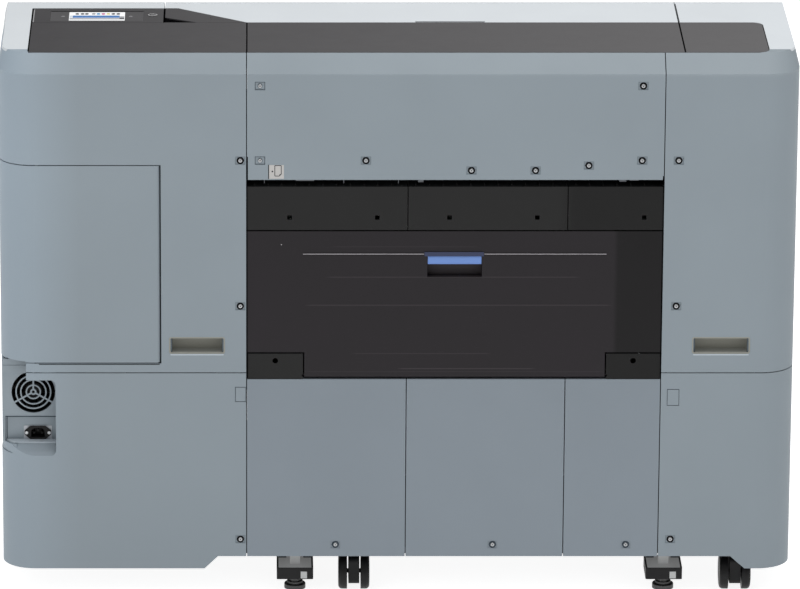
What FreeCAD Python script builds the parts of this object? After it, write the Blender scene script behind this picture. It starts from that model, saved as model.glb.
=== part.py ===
import FreeCAD, Part
import math
import os

# Wide-format roll printer with a built-in cutter, standing on casters.
# Millimetres. +Z up, the service (rear) face looks towards -Y, the operator's front towards +Y.
# Origin: on the floor, below the middle of the cabinet.

# --- overall sizes -------------------------------------------------------------------------
width = 1401.0            # over the two towers
depth = 667.0             # rear face to front face
height = 991.0            # floor to the flat deck
corner_r = 60.0           # vertical corners of the cabinet
wall = 3.0                # moulded cover thickness
gap = 1.6                 # seam between neighbouring covers
clear = 0.2               # seat between a cover and the frame behind it
run_gap = 0.3             # running clearance between moving pieces

# --- heights -------------------------------------------------------------------------------
skirt_z = 51.0            # lower edge of the tower covers
belly_z = 74.0            # lower edge of the centre panels
split_z = 416.0           # seam between lower and upper tower covers
slope_rise = 30.0         # height of the rear slope
edge_z = height - slope_rise
slot_z = 770.0            # lower edge of the upper rear panel, roof of the sheet slot
media_z = 757.0           # plane in which the media travels
window_top_z = 677.5      # top of the rear window
window_low_z = 405.0      # bottom of the rear window
brow_z = 792.0            # lower lip of the top cover at the front
drawer_split_z = 418.0    # between the two roll drawers

# --- depths, measured from the rear face ---------------------------------------------------
slope_run = 37.0          # horizontal run of the rear slope
band_run = 57.0           # where the light deck starts beside the dark strip
strip_run = 239.0         # front edge of the dark strip
bay_run = 238.0           # rear edge of the control panel bay
panel_run = 338.0         # front edge of the control panel bay
ridge_run = 400.0         # where the deck turns down to the front
side_run = 250.0          # seam between the rear and front covers on the sides
deck_inset = 7.0          # how far the deck's sides stand in

# --- places along the width ----------------------------------------------------------------
half = width / 2
left_x = 434.5 - half     # seam between left tower and centre
right_x = half - 236.5    # seam between centre and right tower, rear face
top_right_x = half - 201.5    # seam between centre and right tower, deck
bay_right_x = left_x - 146.0  # right end of the control panel bay
strip_half = half - 54.5      # dark strip's half length
panel_split = (left_x + 281.5, right_x - 168.5)   # seams between the lower panels

rear = -depth / 2
front = depth / 2
V = FreeCAD.Vector
X, Y, Z = V(1, 0, 0), V(0, 1, 0), V(0, 0, 1)
FAR = 2 * width


# --- small helpers -------------------------------------------------------------------------
def box(x0, x1, y0, y1, z0, z1):
    return Part.makeBox(x1 - x0, y1 - y0, z1 - z0, V(x0, y0, z0))


def prism(points, direction):
    """Closed polygon of vectors, pushed along a direction."""
    wire = Part.makePolygon(list(points) + [points[0]])
    return Part.Face(wire).extrude(direction)


def prism_x(points, x0, x1):
    return prism([V(x0, y, z) for y, z in points], V(x1 - x0, 0, 0))


def prism_y(points, y0, y1):
    return prism([V(x, y0, z) for x, z in points], V(0, y1 - y0, 0))


def prism_z(points, z0, z1):
    return prism([V(x, y, z0) for x, y in points], V(0, 0, z1 - z0))


def rod_x(r, x0, x1, y, z):
    return Part.makeCylinder(r, x1 - x0, V(x0, y, z), X)


def rod_y(r, y0, y1, x, z):
    return Part.makeCylinder(r, y1 - y0, V(x, y0, z), Y)


def rod_z(r, z0, z1, x, y):
    return Part.makeCylinder(r, z1 - z0, V(x, y, z0), Z)


def union(shapes):
    first, rest = shapes[0], list(shapes[1:])
    return first.fuse(rest).removeSplitter() if rest else first


def cut(shape, tools):
    tools = list(tools)
    return shape.cut(tools) if tools else shape


def round_rect(half_w, y0, y1, r, z):
    """Face of a rectangle with rounded corners, lying flat at height z."""
    s = r * (1 - math.sqrt(0.5))
    corner = [
        ((-half_w + r, y0), (-half_w + s, y0 + s), (-half_w, y0 + r)),
        ((-half_w, y1 - r), (-half_w + s, y1 - s), (-half_w + r, y1)),
        ((half_w - r, y1), (half_w - s, y1 - s), (half_w, y1 - r)),
        ((half_w, y0 + r), (half_w - s, y0 + s), (half_w - r, y0)),
    ]
    edges = []
    for i, (a, m, b) in enumerate(corner):
        a, m, b = (V(p[0], p[1], z) for p in (a, m, b))
        after = corner[(i + 1) % 4][0]
        edges.append(Part.Arc(a, m, b).toShape())
        edges.append(Part.LineSegment(b, V(after[0], after[1], z)).toShape())
    return Part.Wire(edges)


def soft_box(x0, x1, y0, y1, z0, z1, r, along="z"):
    """Box whose four edges along one axis are rounded."""
    block = box(x0, x1, y0, y1, z0, z1)
    axis = {"x": X, "y": Y, "z": Z}[along]
    edges = [e for e in block.Edges if abs(e.tangentAt(e.FirstParameter).dot(axis)) > 0.99]
    return block.makeFillet(r, edges)


# --- the cabinet's outer form --------------------------------------------------------------
ridge_round = 90.0        # radius where the deck turns down
brow_round = 45.0         # radius where the slope meets the front face
slope_end_z = 800.0       # height at which the front slope would meet the front face


def body_form(t):
    """The cabinet as one solid, shrunk inwards by t."""
    base = round_rect(half - t, rear + t, front - t, corner_r - t, 0)
    trunk = Part.Face(base).extrude(V(0, 0, edge_z - t * 0.4))
    low = round_rect(half - t, rear + t, front - t, corner_r - t, edge_z - t * 0.4)
    top_half, top_rear, top_r = half - deck_inset - t, rear + slope_run + t, corner_r - 10 - t
    high = round_rect(top_half, top_rear, front - t, top_r, height - t)
    crown = Part.makeLoft([low, high], True, True)
    shape = union([trunk, crown])
    ridge_y = rear + ridge_run
    profile = prism_x([(rear - 50, -50), (rear - 50, height - t), (ridge_y, height - t),
                       (front - t, slope_end_z - t), (front - t, -50)], -half - 10, half + 10)

    def edge_at(y, z):
        return [e for e in profile.Edges if abs(e.CenterOfMass.y - y) < 1 and abs(e.CenterOfMass.z - z) < 1
                and abs(e.CenterOfMass.x) < 1]
    profile = profile.makeFillet(ridge_round - t, edge_at(ridge_y, height - t))
    profile = profile.makeFillet(brow_round - t, edge_at(front - t, slope_end_z - t))
    return shape.common(profile)


outer = body_form(0.0)
inner = body_form(wall)
seat = body_form(wall + clear)          # what the frames behind the covers may fill
shell = outer.cut(inner)

g = gap / 2
strip_left_plan = [(-strip_half, rear + slope_run), (-strip_half, rear + panel_run),
                   (bay_right_x + 23, rear + panel_run), (left_x, rear + strip_run),
                   (left_x, rear + slope_run)]


def grown(points, d):
    """Outline moved outwards by d."""
    wire = Part.makePolygon([V(x, y, 0) for x, y in points + [points[0]]])
    return [(v.X, v.Y) for v in wire.makeOffset2D(d, 2).OrderedVertexes]


def strip_zone(d):
    """Space of all the dark strips together, grown by d."""
    left = prism_z(grown(strip_left_plan, d), edge_z, height + 5)
    rest = soft_box(left_x - d - 60, strip_half + d, rear + slope_run - d, rear + strip_run + d,
                    edge_z, height + 5, 19.0)
    cut_off = box(left_x - d - 61, left_x, rear, front, edge_z - 1, height + 6)
    return union([left, rest.cut(cut_off)])


deck_low = height - wall - 0.5
light_top_zone = box(-half - 5, half + 5, rear + band_run, front + 5, deck_low, height + 5)

# --- frame hardware sizes ------------------------------------------------------------------
plate_t = 3.0             # sheet steel of the side frames
inner_top_z = 770.0       # top of the frames' inner plates, under the carriage's path
floor_z = 80.0            # underside of the base frame
shelf_low_z = 84.0        # tops of the shelves' lower faces
pin_r = 2.0               # hinge pins
pin_clear = 0.05          # radial clearance of a hinge pin in its hole
barrel_r = 7.0            # hinge barrels along door edges

# access door in the left tower, wraps the rear corner
door_x = left_x - 151.0
door_z0, door_z1 = split_z + 18.0, slot_z + 26.0
door_axis = (door_x - g - barrel_r, rear + barrel_r)

# finger grips moulded into the towers
grips = [(left_x - 136.5, left_x - 38.0), (right_x + 54.0, right_x + 156.5)]
grip_z0, grip_z1 = split_z + 35.0, split_z + 66.0
grip_deep = 32.0

# power corner: fan and mains inlet
corner_x = 97.5 - half
corner_z0, corner_z1 = split_z - 154.0, split_z - 14.0
corner_step_x = 45.5 - half
fan_x, fan_z = 57.2 - half, split_z - 45.0
fan_plate_run = 30.0
inlet_plate_run = 36.0
inlet_x, inlet_z = 64.5 - half, split_z - 121.5
ledge_z = split_z - 90.0  # step between fan plate and inlet plate
scoop_z = corner_z0 + 17.0    # shelf under the inlet, from which the floor slopes out
band_z = split_z - 10.0   # foot of the raised band above the fan

# screws that hold the rear covers
screw_head_r = 3.6
screw_hole_r = 2.2
pocket_w, pocket_h, pocket_deep = 17.0, 14.0, 1.0
high_z, mid_z, low_z = edge_z - 21.0, slot_z + 35.0, belly_z + 22.0
panel_screws = [(right_x - 39, high_z), (right_x - 39, mid_z), (right_x - 132, mid_z - 9),
                (right_x - 225, mid_z - 18), (right_x - 337, mid_z - 18), (left_x + 208.5, mid_z),
                (left_x + 23.5, mid_z), (left_x + 23.5, high_z)]
tower_screws = [(left_x - 11, mid_z), (left_x - 11, 539.0), (left_x - 11, 106.0),
                (right_x + 25, mid_z), (right_x + 25, 539.0), (right_x + 22, 106.0)]
foot_screws = [(left_x + 157.5, low_z), (left_x + 436.5, low_z), (right_x - 57, low_z)]


def screw_cuts(places):
    tools = []
    for x, z in places:
        tools.append(soft_box(x - pocket_w / 2, x + pocket_w / 2, rear - 1, rear + pocket_deep,
                              z - pocket_h / 2, z + pocket_h / 2, 1.5, "y"))
        tools.append(rod_y(screw_hole_r, rear - 1, rear + wall + 1, x, z))
    return tools


def cover_screws():
    made = []
    for x, z in panel_screws + tower_screws + foot_screws:
        head = rod_y(screw_head_r, rear + pocket_deep - 2.2, rear + pocket_deep, x, z)
        ring = max(head.Edges, key=lambda e: -e.CenterOfMass.y)
        head = head.makeFillet(1.2, [ring])
        made.append(union([head, rod_y(screw_hole_r - 0.2, rear + pocket_deep, rear + 14, x, z)]))
    return made


def tag_groove(x0, x1, z0, z1):
    line, deep = 1.2, 0.8
    return box(x0, x1, rear - 1, rear + deep, z0, z1).cut(
        box(x0 + line, x1 - line, rear - 2, rear + deep + 1, z0 + line, z1 - line))


# --- rear covers ---------------------------------------------------------------------------
def grip_hole(x0, x1, d=0.0):
    return soft_box(x0 - d, x1 + d, rear - 5, rear + wall + 5, grip_z0 - d, grip_z1 + d, 4.0, "y")


def corner_hole():
    """Cut-out of the left tower's corner, where the fan and the inlet sit."""
    deep = rear + 84
    main = soft_box(-half - 30, corner_x, rear - 5, deep, corner_z0, corner_z1, 10.0, "y")
    step = box(-half - 30, corner_step_x, rear - 5, deep, corner_z1 - 20, door_z0)
    return union([main, step])


def door_zone(d=0.0):
    return box(-half - 5, door_x + d, rear - 5, rear + side_run + d, door_z0 - d, door_z1 + d)


def left_upper_rear_cover():
    zone = box(-half - 5, left_x - g, rear - 5, rear + side_run - g, split_z + g, height + 5)
    cover = shell.common(zone)
    barrel_room = rod_z(barrel_r + 1.0, door_z0 - g, door_z1 + g, *door_axis)
    cover = cut(cover, [light_top_zone.translated(V(0, -g, 0)), strip_zone(g), door_zone(g),
                        barrel_room, grip_hole(*grips[0]), corner_hole()] + screw_cuts(tower_screws[:2]))
    return max(cover.Solids, key=lambda s: s.Volume)


def left_lower_rear_cover():
    zone = box(-half - 5, left_x - g, rear - 5, rear + side_run - g, skirt_z, split_z - g)
    riser = box(-half - 5, corner_step_x, rear + 84, rear + side_run - g, split_z - gap, door_z0 - gap)
    cover = shell.common(union([zone, riser])).cut(corner_hole())
    slope = prism_x([(rear, corner_z0), (rear, corner_z0 - 5), (rear + inlet_plate_run + 6, corner_z0 + 10),
                     (rear + inlet_plate_run + 6, scoop_z), (rear + 18, scoop_z), (rear + 5, corner_z0 + 6)],
                    -half - 5, corner_x + 6)
    floor = outer.common(slope)
    cheek = seat.common(box(corner_x, corner_x + 2, rear, rear + 84, corner_z0 - wall, corner_z1 + 8))
    cover = union([cover, floor, cheek])
    notch = prism_y([(left_x - 76, skirt_z - 1), (left_x - 51, belly_z), (left_x + 5, belly_z),
                     (left_x + 5, skirt_z - 1)], rear - 5, rear + 20)
    tag = tag_groove(left_x - 20.5, left_x - g - 0.1, split_z - 54, split_z - 26)
    return cut(cover, [notch, tag] + screw_cuts(tower_screws[2:3]))


def right_upper_rear_cover():
    zone = box(right_x + g, half + 5, rear - 5, rear + side_run - g, split_z + g, height + 5)
    cover = shell.common(zone)
    return cut(cover, [light_top_zone.translated(V(0, -g, 0)), strip_zone(g),
                       grip_hole(*grips[1])] + screw_cuts(tower_screws[3:5]))


def right_lower_rear_cover():
    zone = box(right_x + g, half + 5, rear - 5, rear + side_run - g, skirt_z, split_z - g)
    notch = prism_y([(right_x - 5, skirt_z - 1), (right_x - 5, belly_z), (right_x + 129, belly_z),
                     (right_x + 156, skirt_z - 1)], rear - 5, rear + 20)
    tag = tag_groove(right_x + 11.5, right_x + 33.5, split_z - 61, split_z - 30)
    return cut(shell.common(zone), [notch, tag] + screw_cuts(tower_screws[5:]))


def rear_upper_panel():
    zone = box(left_x + g, right_x - g, rear - 5, rear + slope_run + 1, slot_z, height + 5)
    panel = shell.common(zone).cut(strip_zone(g))
    ears = [box(left_x, left_x + 2.4, rear - 1, rear + 6, slot_z - 1, slot_z + 42),
            box(right_x - 2.4, right_x, rear - 1, rear + 6, slot_z - 1, slot_z + 7)]
    panel = panel.cut(ears)
    lip = box(left_x + 4, right_x - 4, rear + 1, rear + 40, slot_z, slot_z + 2)
    return cut(union([panel, lip]), screw_cuts(panel_screws))


def lower_panels():
    edges = (left_x,) + panel_split + (right_x,)
    made = []
    for i in range(3):
        panel = box(edges[i] + g, edges[i + 1] - g, rear, rear + 2, belly_z, window_low_z - 1)
        lips = [box(edges[i] + g, edges[i + 1] - g, rear + 1, rear + 14, z, z + 2)
                for z in (belly_z, window_low_z - 3)]
        screws = [s for s in foot_screws if edges[i] < s[0] < edges[i + 1]]
        made.append(cut(union([panel] + lips), screw_cuts(screws)))
    return made


def access_door():
    panel = shell.common(door_zone(-g))
    trim = box(door_axis[0], door_x + 10, rear - 5, rear + 30, door_z0 - 5, door_z1 + 5)
    barrel = rod_z(barrel_r, door_z0 + g, door_z1 - g, *door_axis)
    pin = rod_z(pin_r, door_z0 - 8, door_z1 + 8, *door_axis)
    grip = box(10.5 - half, corner_step_x, rear + 2, rear + 40, door_z0 - 1, door_z0 + 2.5)
    return union([panel.cut(trim).cut(grip), barrel, pin])


def grip_cups():
    made = []
    for x0, x1 in grips:
        d, t = 0.3, 2.0
        out = soft_box(x0 + d, x1 - d, rear + 0.4, rear + grip_deep, grip_z0 + d, grip_z1 - d, 3.7, "y")
        hollow = soft_box(x0 + d + t, x1 - d - t, rear - 1, rear + grip_deep - t,
                          grip_z0 + d + t, grip_z1 - d - t, 2.5, "y")
        rim = soft_box(x0 - 4, x1 + 4, rear + wall + 0.1, rear + wall + 2, grip_z0 - 4, grip_z1 + 4, 6, "y")
        made.append(union([out, rim]).cut(hollow))
    return made


# --- top of the cabinet --------------------------------------------------------------------
panel_x0, panel_x1 = 3.0 - strip_half, bay_right_x - 2.0
panel_y0, panel_y1 = rear + bay_run + 1, rear + panel_run - 2
panel_t = 12.0
hinge_panel = (panel_y1 - 7.0, height - wall - 3.0)
screen_x0, screen_x1 = 31.0 - strip_half, bay_right_x - 37.0
screen_y0, screen_y1 = rear + 251.0, rear + 319.0
button_x, button_y, button_r = bay_right_x - 21.0, rear + 289.5, 8.5
lid_hinge = (rear + strip_run + 30.0, height - wall - 4.0)
lid_arm_x = (left_x + 106.0, right_x - 84.0)
lid_x0, lid_x1 = bay_right_x + g, top_right_x - g


def bay_zone(d=0.0):
    return box(-strip_half - d, bay_right_x + d, rear + bay_run - d, rear + panel_run + d, 940, height + 5)


def dark_strips():
    zone = shell.common(strip_zone(0))
    left = zone.common(box(-half, left_x - g, rear, front, 900, height + 5)).cut(bay_zone())
    mid = zone.common(box(left_x + g, top_right_x - g, rear, front, 900, height + 5))
    right = zone.common(box(top_right_x + g, half, rear, front, 900, height + 5))
    low = height - panel_t - 7
    x0, x1 = panel_x0 + 3, panel_x1 - 4
    cradle = box(x0, x1, rear + bay_run - 8, rear + panel_run - 33, low, low + 2.5)
    cradle_wall = box(x0, x1, rear + bay_run - 8, rear + bay_run - 5, low, height - 1)
    y = rear + strip_run
    finger = prism_z([(bay_right_x + 4, y + 1), (bay_right_x + 4, y + 33), (bay_right_x + 58, y + 1)],
                     height - 2.2, height + 1)
    line = box(bay_right_x - 1, left_x, y - 0.6, y + 0.4, height - 0.9, height + 1)
    relief = rod_x(10.5, left_x - 64, left_x - 2, *lid_hinge)
    return union([left, cradle, cradle_wall]).cut([finger, line, relief]), mid, right


def front_cover(left_side):
    side = box(-half - 5, left_x - g, rear, front + 5, skirt_z, height + 5) if left_side \
        else box(right_x + g, half + 5, rear, front + 5, skirt_z, height + 5)
    body = side.common(box(-half - 5, half + 5, rear + side_run + g, front + 5, skirt_z, height + 5))
    deck = side.common(light_top_zone).common(box(-half - 5, half + 5, rear + band_run, front, 900, height + 5))
    cover = shell.common(union([body, deck]))
    lid = box(lid_x0 - gap, lid_x1 + gap, rear, front + 5, brow_z - g, height + 5)
    door = ink_doors_at[0 if left_side else 1]
    hole = soft_box(door[0] - g, door[1] + g, front - 20, front + 5, ink_z0 - g, ink_z1 + g, 3.0, "y")
    floor_gap = box(-300, 590, rear, front + 5, skirt_z - 1, belly_z)
    cover = cut(cover, [strip_zone(gap), bay_zone(gap), lid, hole, floor_gap])
    return max(cover.Solids, key=lambda s: s.Volume)


def top_cover():
    zone = box(lid_x0, lid_x1, rear, front + 5, brow_z + g, height + 5)
    plate = cut(shell.common(zone), [strip_zone(gap), box(-half, half, rear, rear + strip_run - 20, 900, 995)])
    notch = box(lid_x0 + 444.2, lid_x0 + 567.2, rear + strip_run, rear + strip_run + 9, height - 5, height + 1)
    sides = [seat_wall.common(box(x, x + 3, rear + panel_run + 6, front, brow_z + 20, height))
             for x in (lid_x0 + 1, lid_x1 - 4)]
    plate = max(union([plate] + sides).cut(notch).Solids, key=lambda s: s.Volume)
    y, z = lid_hinge
    pins = []
    for x in lid_arm_x:
        arm = box(x - 14, x + 14, y - 4, y + 4, z, height - 1)
        pins += [arm, rod_x(5, x - 14, x + 14, y, z), rod_x(pin_r, x - 24, x + 24, y, z)]
    return union([plate] + pins)


seat_wall = body_form(wall - 0.5).cut(body_form(22.0))


def control_panel():
    block = box(panel_x0, panel_x1, panel_y0, panel_y1, height - panel_t, height)
    block = block.cut(box(panel_x0 + 3, panel_x1 - 3, panel_y0 + 3, panel_y1 - 14,
                          height - panel_t - 1, height - 4))
    recess = box(screen_x0, screen_x1, screen_y0, screen_y1, height - 2.2, height + 1)
    tools = [recess, rod_z(button_r + run_gap, height - 20, height + 1, button_x, button_y)]
    panel = cut(block, tools)
    y, z = hinge_panel
    return union([panel, rod_x(pin_r, panel_x0 - 9, panel_x1 + 9, y, z)])


def screen():
    return box(screen_x0 + 0.2, screen_x1 - 0.2, screen_y0 + 0.2, screen_y1 - 0.2, height - 2.2, height - 0.5)


def power_button():
    cap = rod_z(button_r, height - 3.5, height + 0.8, button_x, button_y)
    flange = rod_z(button_r + 2.5, height - 6.5, height - 4.3, button_x, button_y)
    return union([cap, rod_z(button_r, height - 6.5, height - 3, button_x, button_y), flange])


# --- rear window, guide plates -------------------------------------------------------------
hinge_window = (rear + 7.0, window_low_z + 6.0)
bracket_span = [(left_x + g, left_x + 100.0), (right_x - 97.5, right_x - g)]
bracket_top = window_low_z + 47.0
handle_x0, handle_x1 = left_x + 318.0, left_x + 412.0
handle_z0, handle_z1 = window_top_z - 61.5, window_top_z - 43.5
handle_drop = 24.0        # depth of the finger recess below the handle
latch_axis = (rear + 10.0, handle_z1 + 2.0)


def rear_window():
    x0, x1 = bracket_span[0][1] + gap, bracket_span[1][0] - gap
    y = rear + 1
    wide = box(left_x + gap, right_x - gap, y, y + 2.5, bracket_top + gap, window_top_z - gap)
    low = box(x0, x1, y, y + 2.5, window_low_z + 14, bracket_top + gap)
    rim = [box(left_x + gap, right_x - gap, y, y + 12, window_top_z - gap - 2.5, window_top_z - gap),
           box(left_x + gap, left_x + gap + 2.5, y, y + 12, bracket_top + gap, window_top_z - gap),
           box(right_x - gap - 2.5, right_x - gap, y, y + 12, bracket_top + gap, window_top_z - gap)]
    bead = box(left_x + 99, right_x - 99, rear, y + 1, handle_z1 - 1, handle_z1 + 2)
    low_z0 = handle_z0 - handle_drop
    hy, hz = hinge_window
    barrel = [rod_x(5.5, x0, x1, hy, hz), box(x0, x1, y, y + 4, hz, window_low_z + 15)]
    pins = [rod_x(pin_r, x0 - 12, x1 + 12, hy, hz)]
    opening = box(handle_x0 - 1, handle_x1 + 1, rear - 1, rear + 5, low_z0, handle_z1)
    pocket = box(handle_x0 - 3, handle_x1 + 3, y, rear + 24, low_z0 - 3, handle_z1 + 10)
    hollow = box(handle_x0 - 1, handle_x1 + 1, rear + 3.5, rear + 22, low_z0, handle_z1 + 8)
    pocket = pocket.cut(hollow)
    latch_bore = rod_x(pin_r + pin_clear, handle_x0 - 4, handle_x1 + 4, *latch_axis)
    return union([wide, low, bead, pocket] + rim + barrel + pins).cut([opening, latch_bore])


def window_latch():
    y, z = latch_axis
    blade = box(handle_x0, handle_x1, rear + 1, rear + 5, handle_z0, handle_z1 - 3)
    arm = box(handle_x0, handle_x1, rear + 4.2, y + 3, handle_z1 - 6, z - 1)
    return union([blade, arm, rod_x(4, handle_x0, handle_x1, y, z),
                  rod_x(pin_r, handle_x0 - 2, handle_x1 + 2, y, z)])


def corner_brackets():
    made = []
    for x0, x1 in bracket_span:
        plate = box(x0 + g, x1 - g, rear + 1, rear + 3.5, window_low_z, bracket_top - g)
        inward = x1 if x0 < 0 else x0
        s = -1 if x0 < 0 else 1
        near, off = inward + s * 3, inward + s * 14
        block = box(min(near, off), max(near, off), rear + 2, rear + 14, window_low_z, window_low_z + 14)
        bore = rod_x(pin_r + pin_clear, min(near, off) - 1, max(near, off) + 1, *hinge_window)
        hole = rod_y(5, rear, rear + 5, (x0 + x1) / 2, bracket_top - 14)
        foot = box(x0 + g, x1 - g, rear + 1, rear + 16, window_low_z - 0.5, window_low_z + 2)
        made.append(union([plate, block, foot]).cut([bore, hole, rod_x(6.3, inward - 3, inward + 3, *hinge_window)]))
    return made


plate_holes = (left_x + 75.4, left_x + 229, left_x + 355.4, right_x - 221, right_x - 33.5)


def guide_plates():
    edges = (left_x, panel_split[0] + 1, panel_split[1] + 1, right_x)
    made = []
    for i in range(3):
        x0, x1 = edges[i] + g, edges[i + 1] - g
        plate = box(x0, x1, rear + 1, rear + 3, window_top_z + g, media_z)
        shelf = box(x0, x1, rear + 1, rear + 60, media_z - 2, media_z)
        holes = [soft_box(x - 4, x + 4, rear, rear + 4, media_z - 60, media_z - 52, 1, "y")
                 for x in plate_holes if x0 < x < x1]
        count = int((x1 - x0) // 24)
        ribs = [box(x0 + 12 + k * 24, x0 + 14 + k * 24, rear + 8, rear + 60, media_z - 0.5, media_z + 3)
                for k in range(count)]
        made.append(cut(union([plate, shelf] + ribs), holes))
    return made


# --- power corner --------------------------------------------------------------------------
def corner_plate():
    y, y_low = rear + fan_plate_run, rear + inlet_plate_run
    x, top = wall + clear - half, door_z0 + 10
    face = box(x, corner_x, y, y + 3, ledge_z, top)
    low = box(x, corner_x, y_low, y_low + 3, scoop_z + 0.3, ledge_z + 3)
    boss = box(inlet_x - 25, inlet_x + 25, y_low - boss_t, y_low + 1, inlet_z - 12.5, inlet_z + 12.5)
    ledge = box(x, corner_x, y, y_low + 3, ledge_z, ledge_z + 3)
    side = box(x, x + 3, y, rear + 90.2, scoop_z + 0.3, top)
    band = box(x, corner_step_x - 1, y - 2, y + 1, band_z, top)
    seam = box(x - 1, corner_step_x, y - 3, y - 1, split_z + 5, split_z + 6.2)
    hole = box(inlet_x - 13.5, inlet_x + 13.5, rear, rear + 45, inlet_z - 10.5, inlet_z + 10.5)
    behind_door = box(-half - 5, corner_x + 1, rear - 5, rear + 95, door_z0 - 1, top + 1).cut(body_form(wall + 1.5))
    plate = union([face, low, boss, ledge, side, band.cut(seam)])
    return plate.cut(fan_slots(y - 3, y + 4) + [hole, behind_door])


def fan_slots(y0, y1):
    rings = [(5.6, 11.2), (13.6, 21.1), (23.5, 29.4), (31.8, 38.6)]
    tools = []
    for r0, r1 in rings:
        tools.append(rod_y(r1, y0, y1, fan_x, fan_z).cut(rod_y(r0, y0 - 1, y1 + 1, fan_x, fan_z)))
    spokes = []
    for angle in (90, 210, 330):
        bar = box(-1.4, 1.4, y0 - 1, y1 + 1, 0, 45)
        bar.rotate(V(0, 0, 0), Y, 90 - angle)
        spokes.append(bar.translated(V(fan_x, 0, fan_z)))
    slots = [t.cut(spokes) for t in tools]
    return slots + [rod_y(2.7, y0, y1, fan_x, fan_z)]


boss_t = 1.2              # raised seat of the mains inlet


def fan_housing():
    y0, y1 = rear + fan_plate_run + 3.2, rear + fan_plate_run + 32.0
    body = soft_box(fan_x - 41, fan_x + 39, y0, y1, fan_z - 40, fan_z + 40, 6, "y")
    bore = rod_y(38, y0 - 1, y1 + 1, fan_x, fan_z)
    hub = rod_y(14, y1 - 4, y1, fan_x, fan_z)
    arms = [box(fan_x - 39, fan_x + 37, y1 - 4, y1, fan_z - 3, fan_z + 3)]
    axle = rod_y(2.0, y0 + 5, y1, fan_x, fan_z)
    low = box(inlet_x - 60, inlet_x + 45, rear + 5, rear + inlet_plate_run + 3.4, scoop_z - 60, ledge_z + 4)
    return union([body.cut(bore), hub, axle] + arms).cut(low)


def fan_impeller():
    y0, y1 = rear + fan_plate_run + 7.0, rear + fan_plate_run + 26.0
    hub = rod_y(15, y0, y1, fan_x, fan_z)
    blades = []
    for k in range(7):
        blade = box(12, 36, y0 + 2, y1 - 2, -1.2, 1.2)
        blade.rotate(V(0, (y0 + y1) / 2, 0), X, 35)
        blade.rotate(V(0, 0, 0), Y, k * 360 / 7)
        blades.append(blade.translated(V(fan_x, 0, fan_z)))
    return union([hub] + blades).cut(rod_y(2.05, y0 - 1, y1 + 1, fan_x, fan_z))


def power_inlet():
    y = rear + inlet_plate_run - boss_t
    flange = prism_y([(inlet_x + s * a, inlet_z + t * b) for s, t, a, b in
                      ((-1, -1, 13.8, 12), (1, -1, 13.8, 12), (1, -1, 23.5, 3.5), (1, 1, 23.5, 3.5),
                       (1, 1, 13.8, 12), (-1, 1, 13.8, 12), (-1, 1, 23.5, 3.5), (-1, -1, 23.5, 3.5))],
                     y - 2.2, y)
    body = box(inlet_x - 13.4, inlet_x + 13.4, y - 2.2, y + 22, inlet_z - 10.4, inlet_z + 10.4)
    well = prism_y([(inlet_x - 12, inlet_z - 8.5), (inlet_x + 12, inlet_z - 8.5), (inlet_x + 12, inlet_z + 4),
                    (inlet_x + 7, inlet_z + 8.5), (inlet_x - 7, inlet_z + 8.5), (inlet_x - 12, inlet_z + 4)],
                   y - 3, y + 17)
    blades = [box(inlet_x + dx - 1, inlet_x + dx + 1, y + 3, y + 18, inlet_z - dz - 2, inlet_z - dz + 2)
              for dx, dz in ((-7, 2), (7, 2), (0, -3))]
    screws = [rod_y(3.2, y - 3.6, y - 2, inlet_x + dx, inlet_z) for dx in (-20, 20)]
    return union([union([flange, body]).cut(well)] + blades + screws)


# --- frame ---------------------------------------------------------------------------------
side_l, side_r = left_x - 11.0, right_x + 8.0
wheel_spots = [(left_x + 191, rear + 58, 0), (right_x + 140, rear + 58, 0),
               (left_x - 154, front - 58, 180), (right_x + 140, front - 58, 180)]
foot_spots = [(left_x + 86, rear + 46), (right_x + 13, rear + 46),
              (left_x - 259, front - 46), (right_x + 13, front - 46)]
pan_low, pan_top = 86.0, 90.0
shelf_z = split_z + 4.5
beam_y0, beam_y1 = rear + 60.0, rear + 96.0


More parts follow.
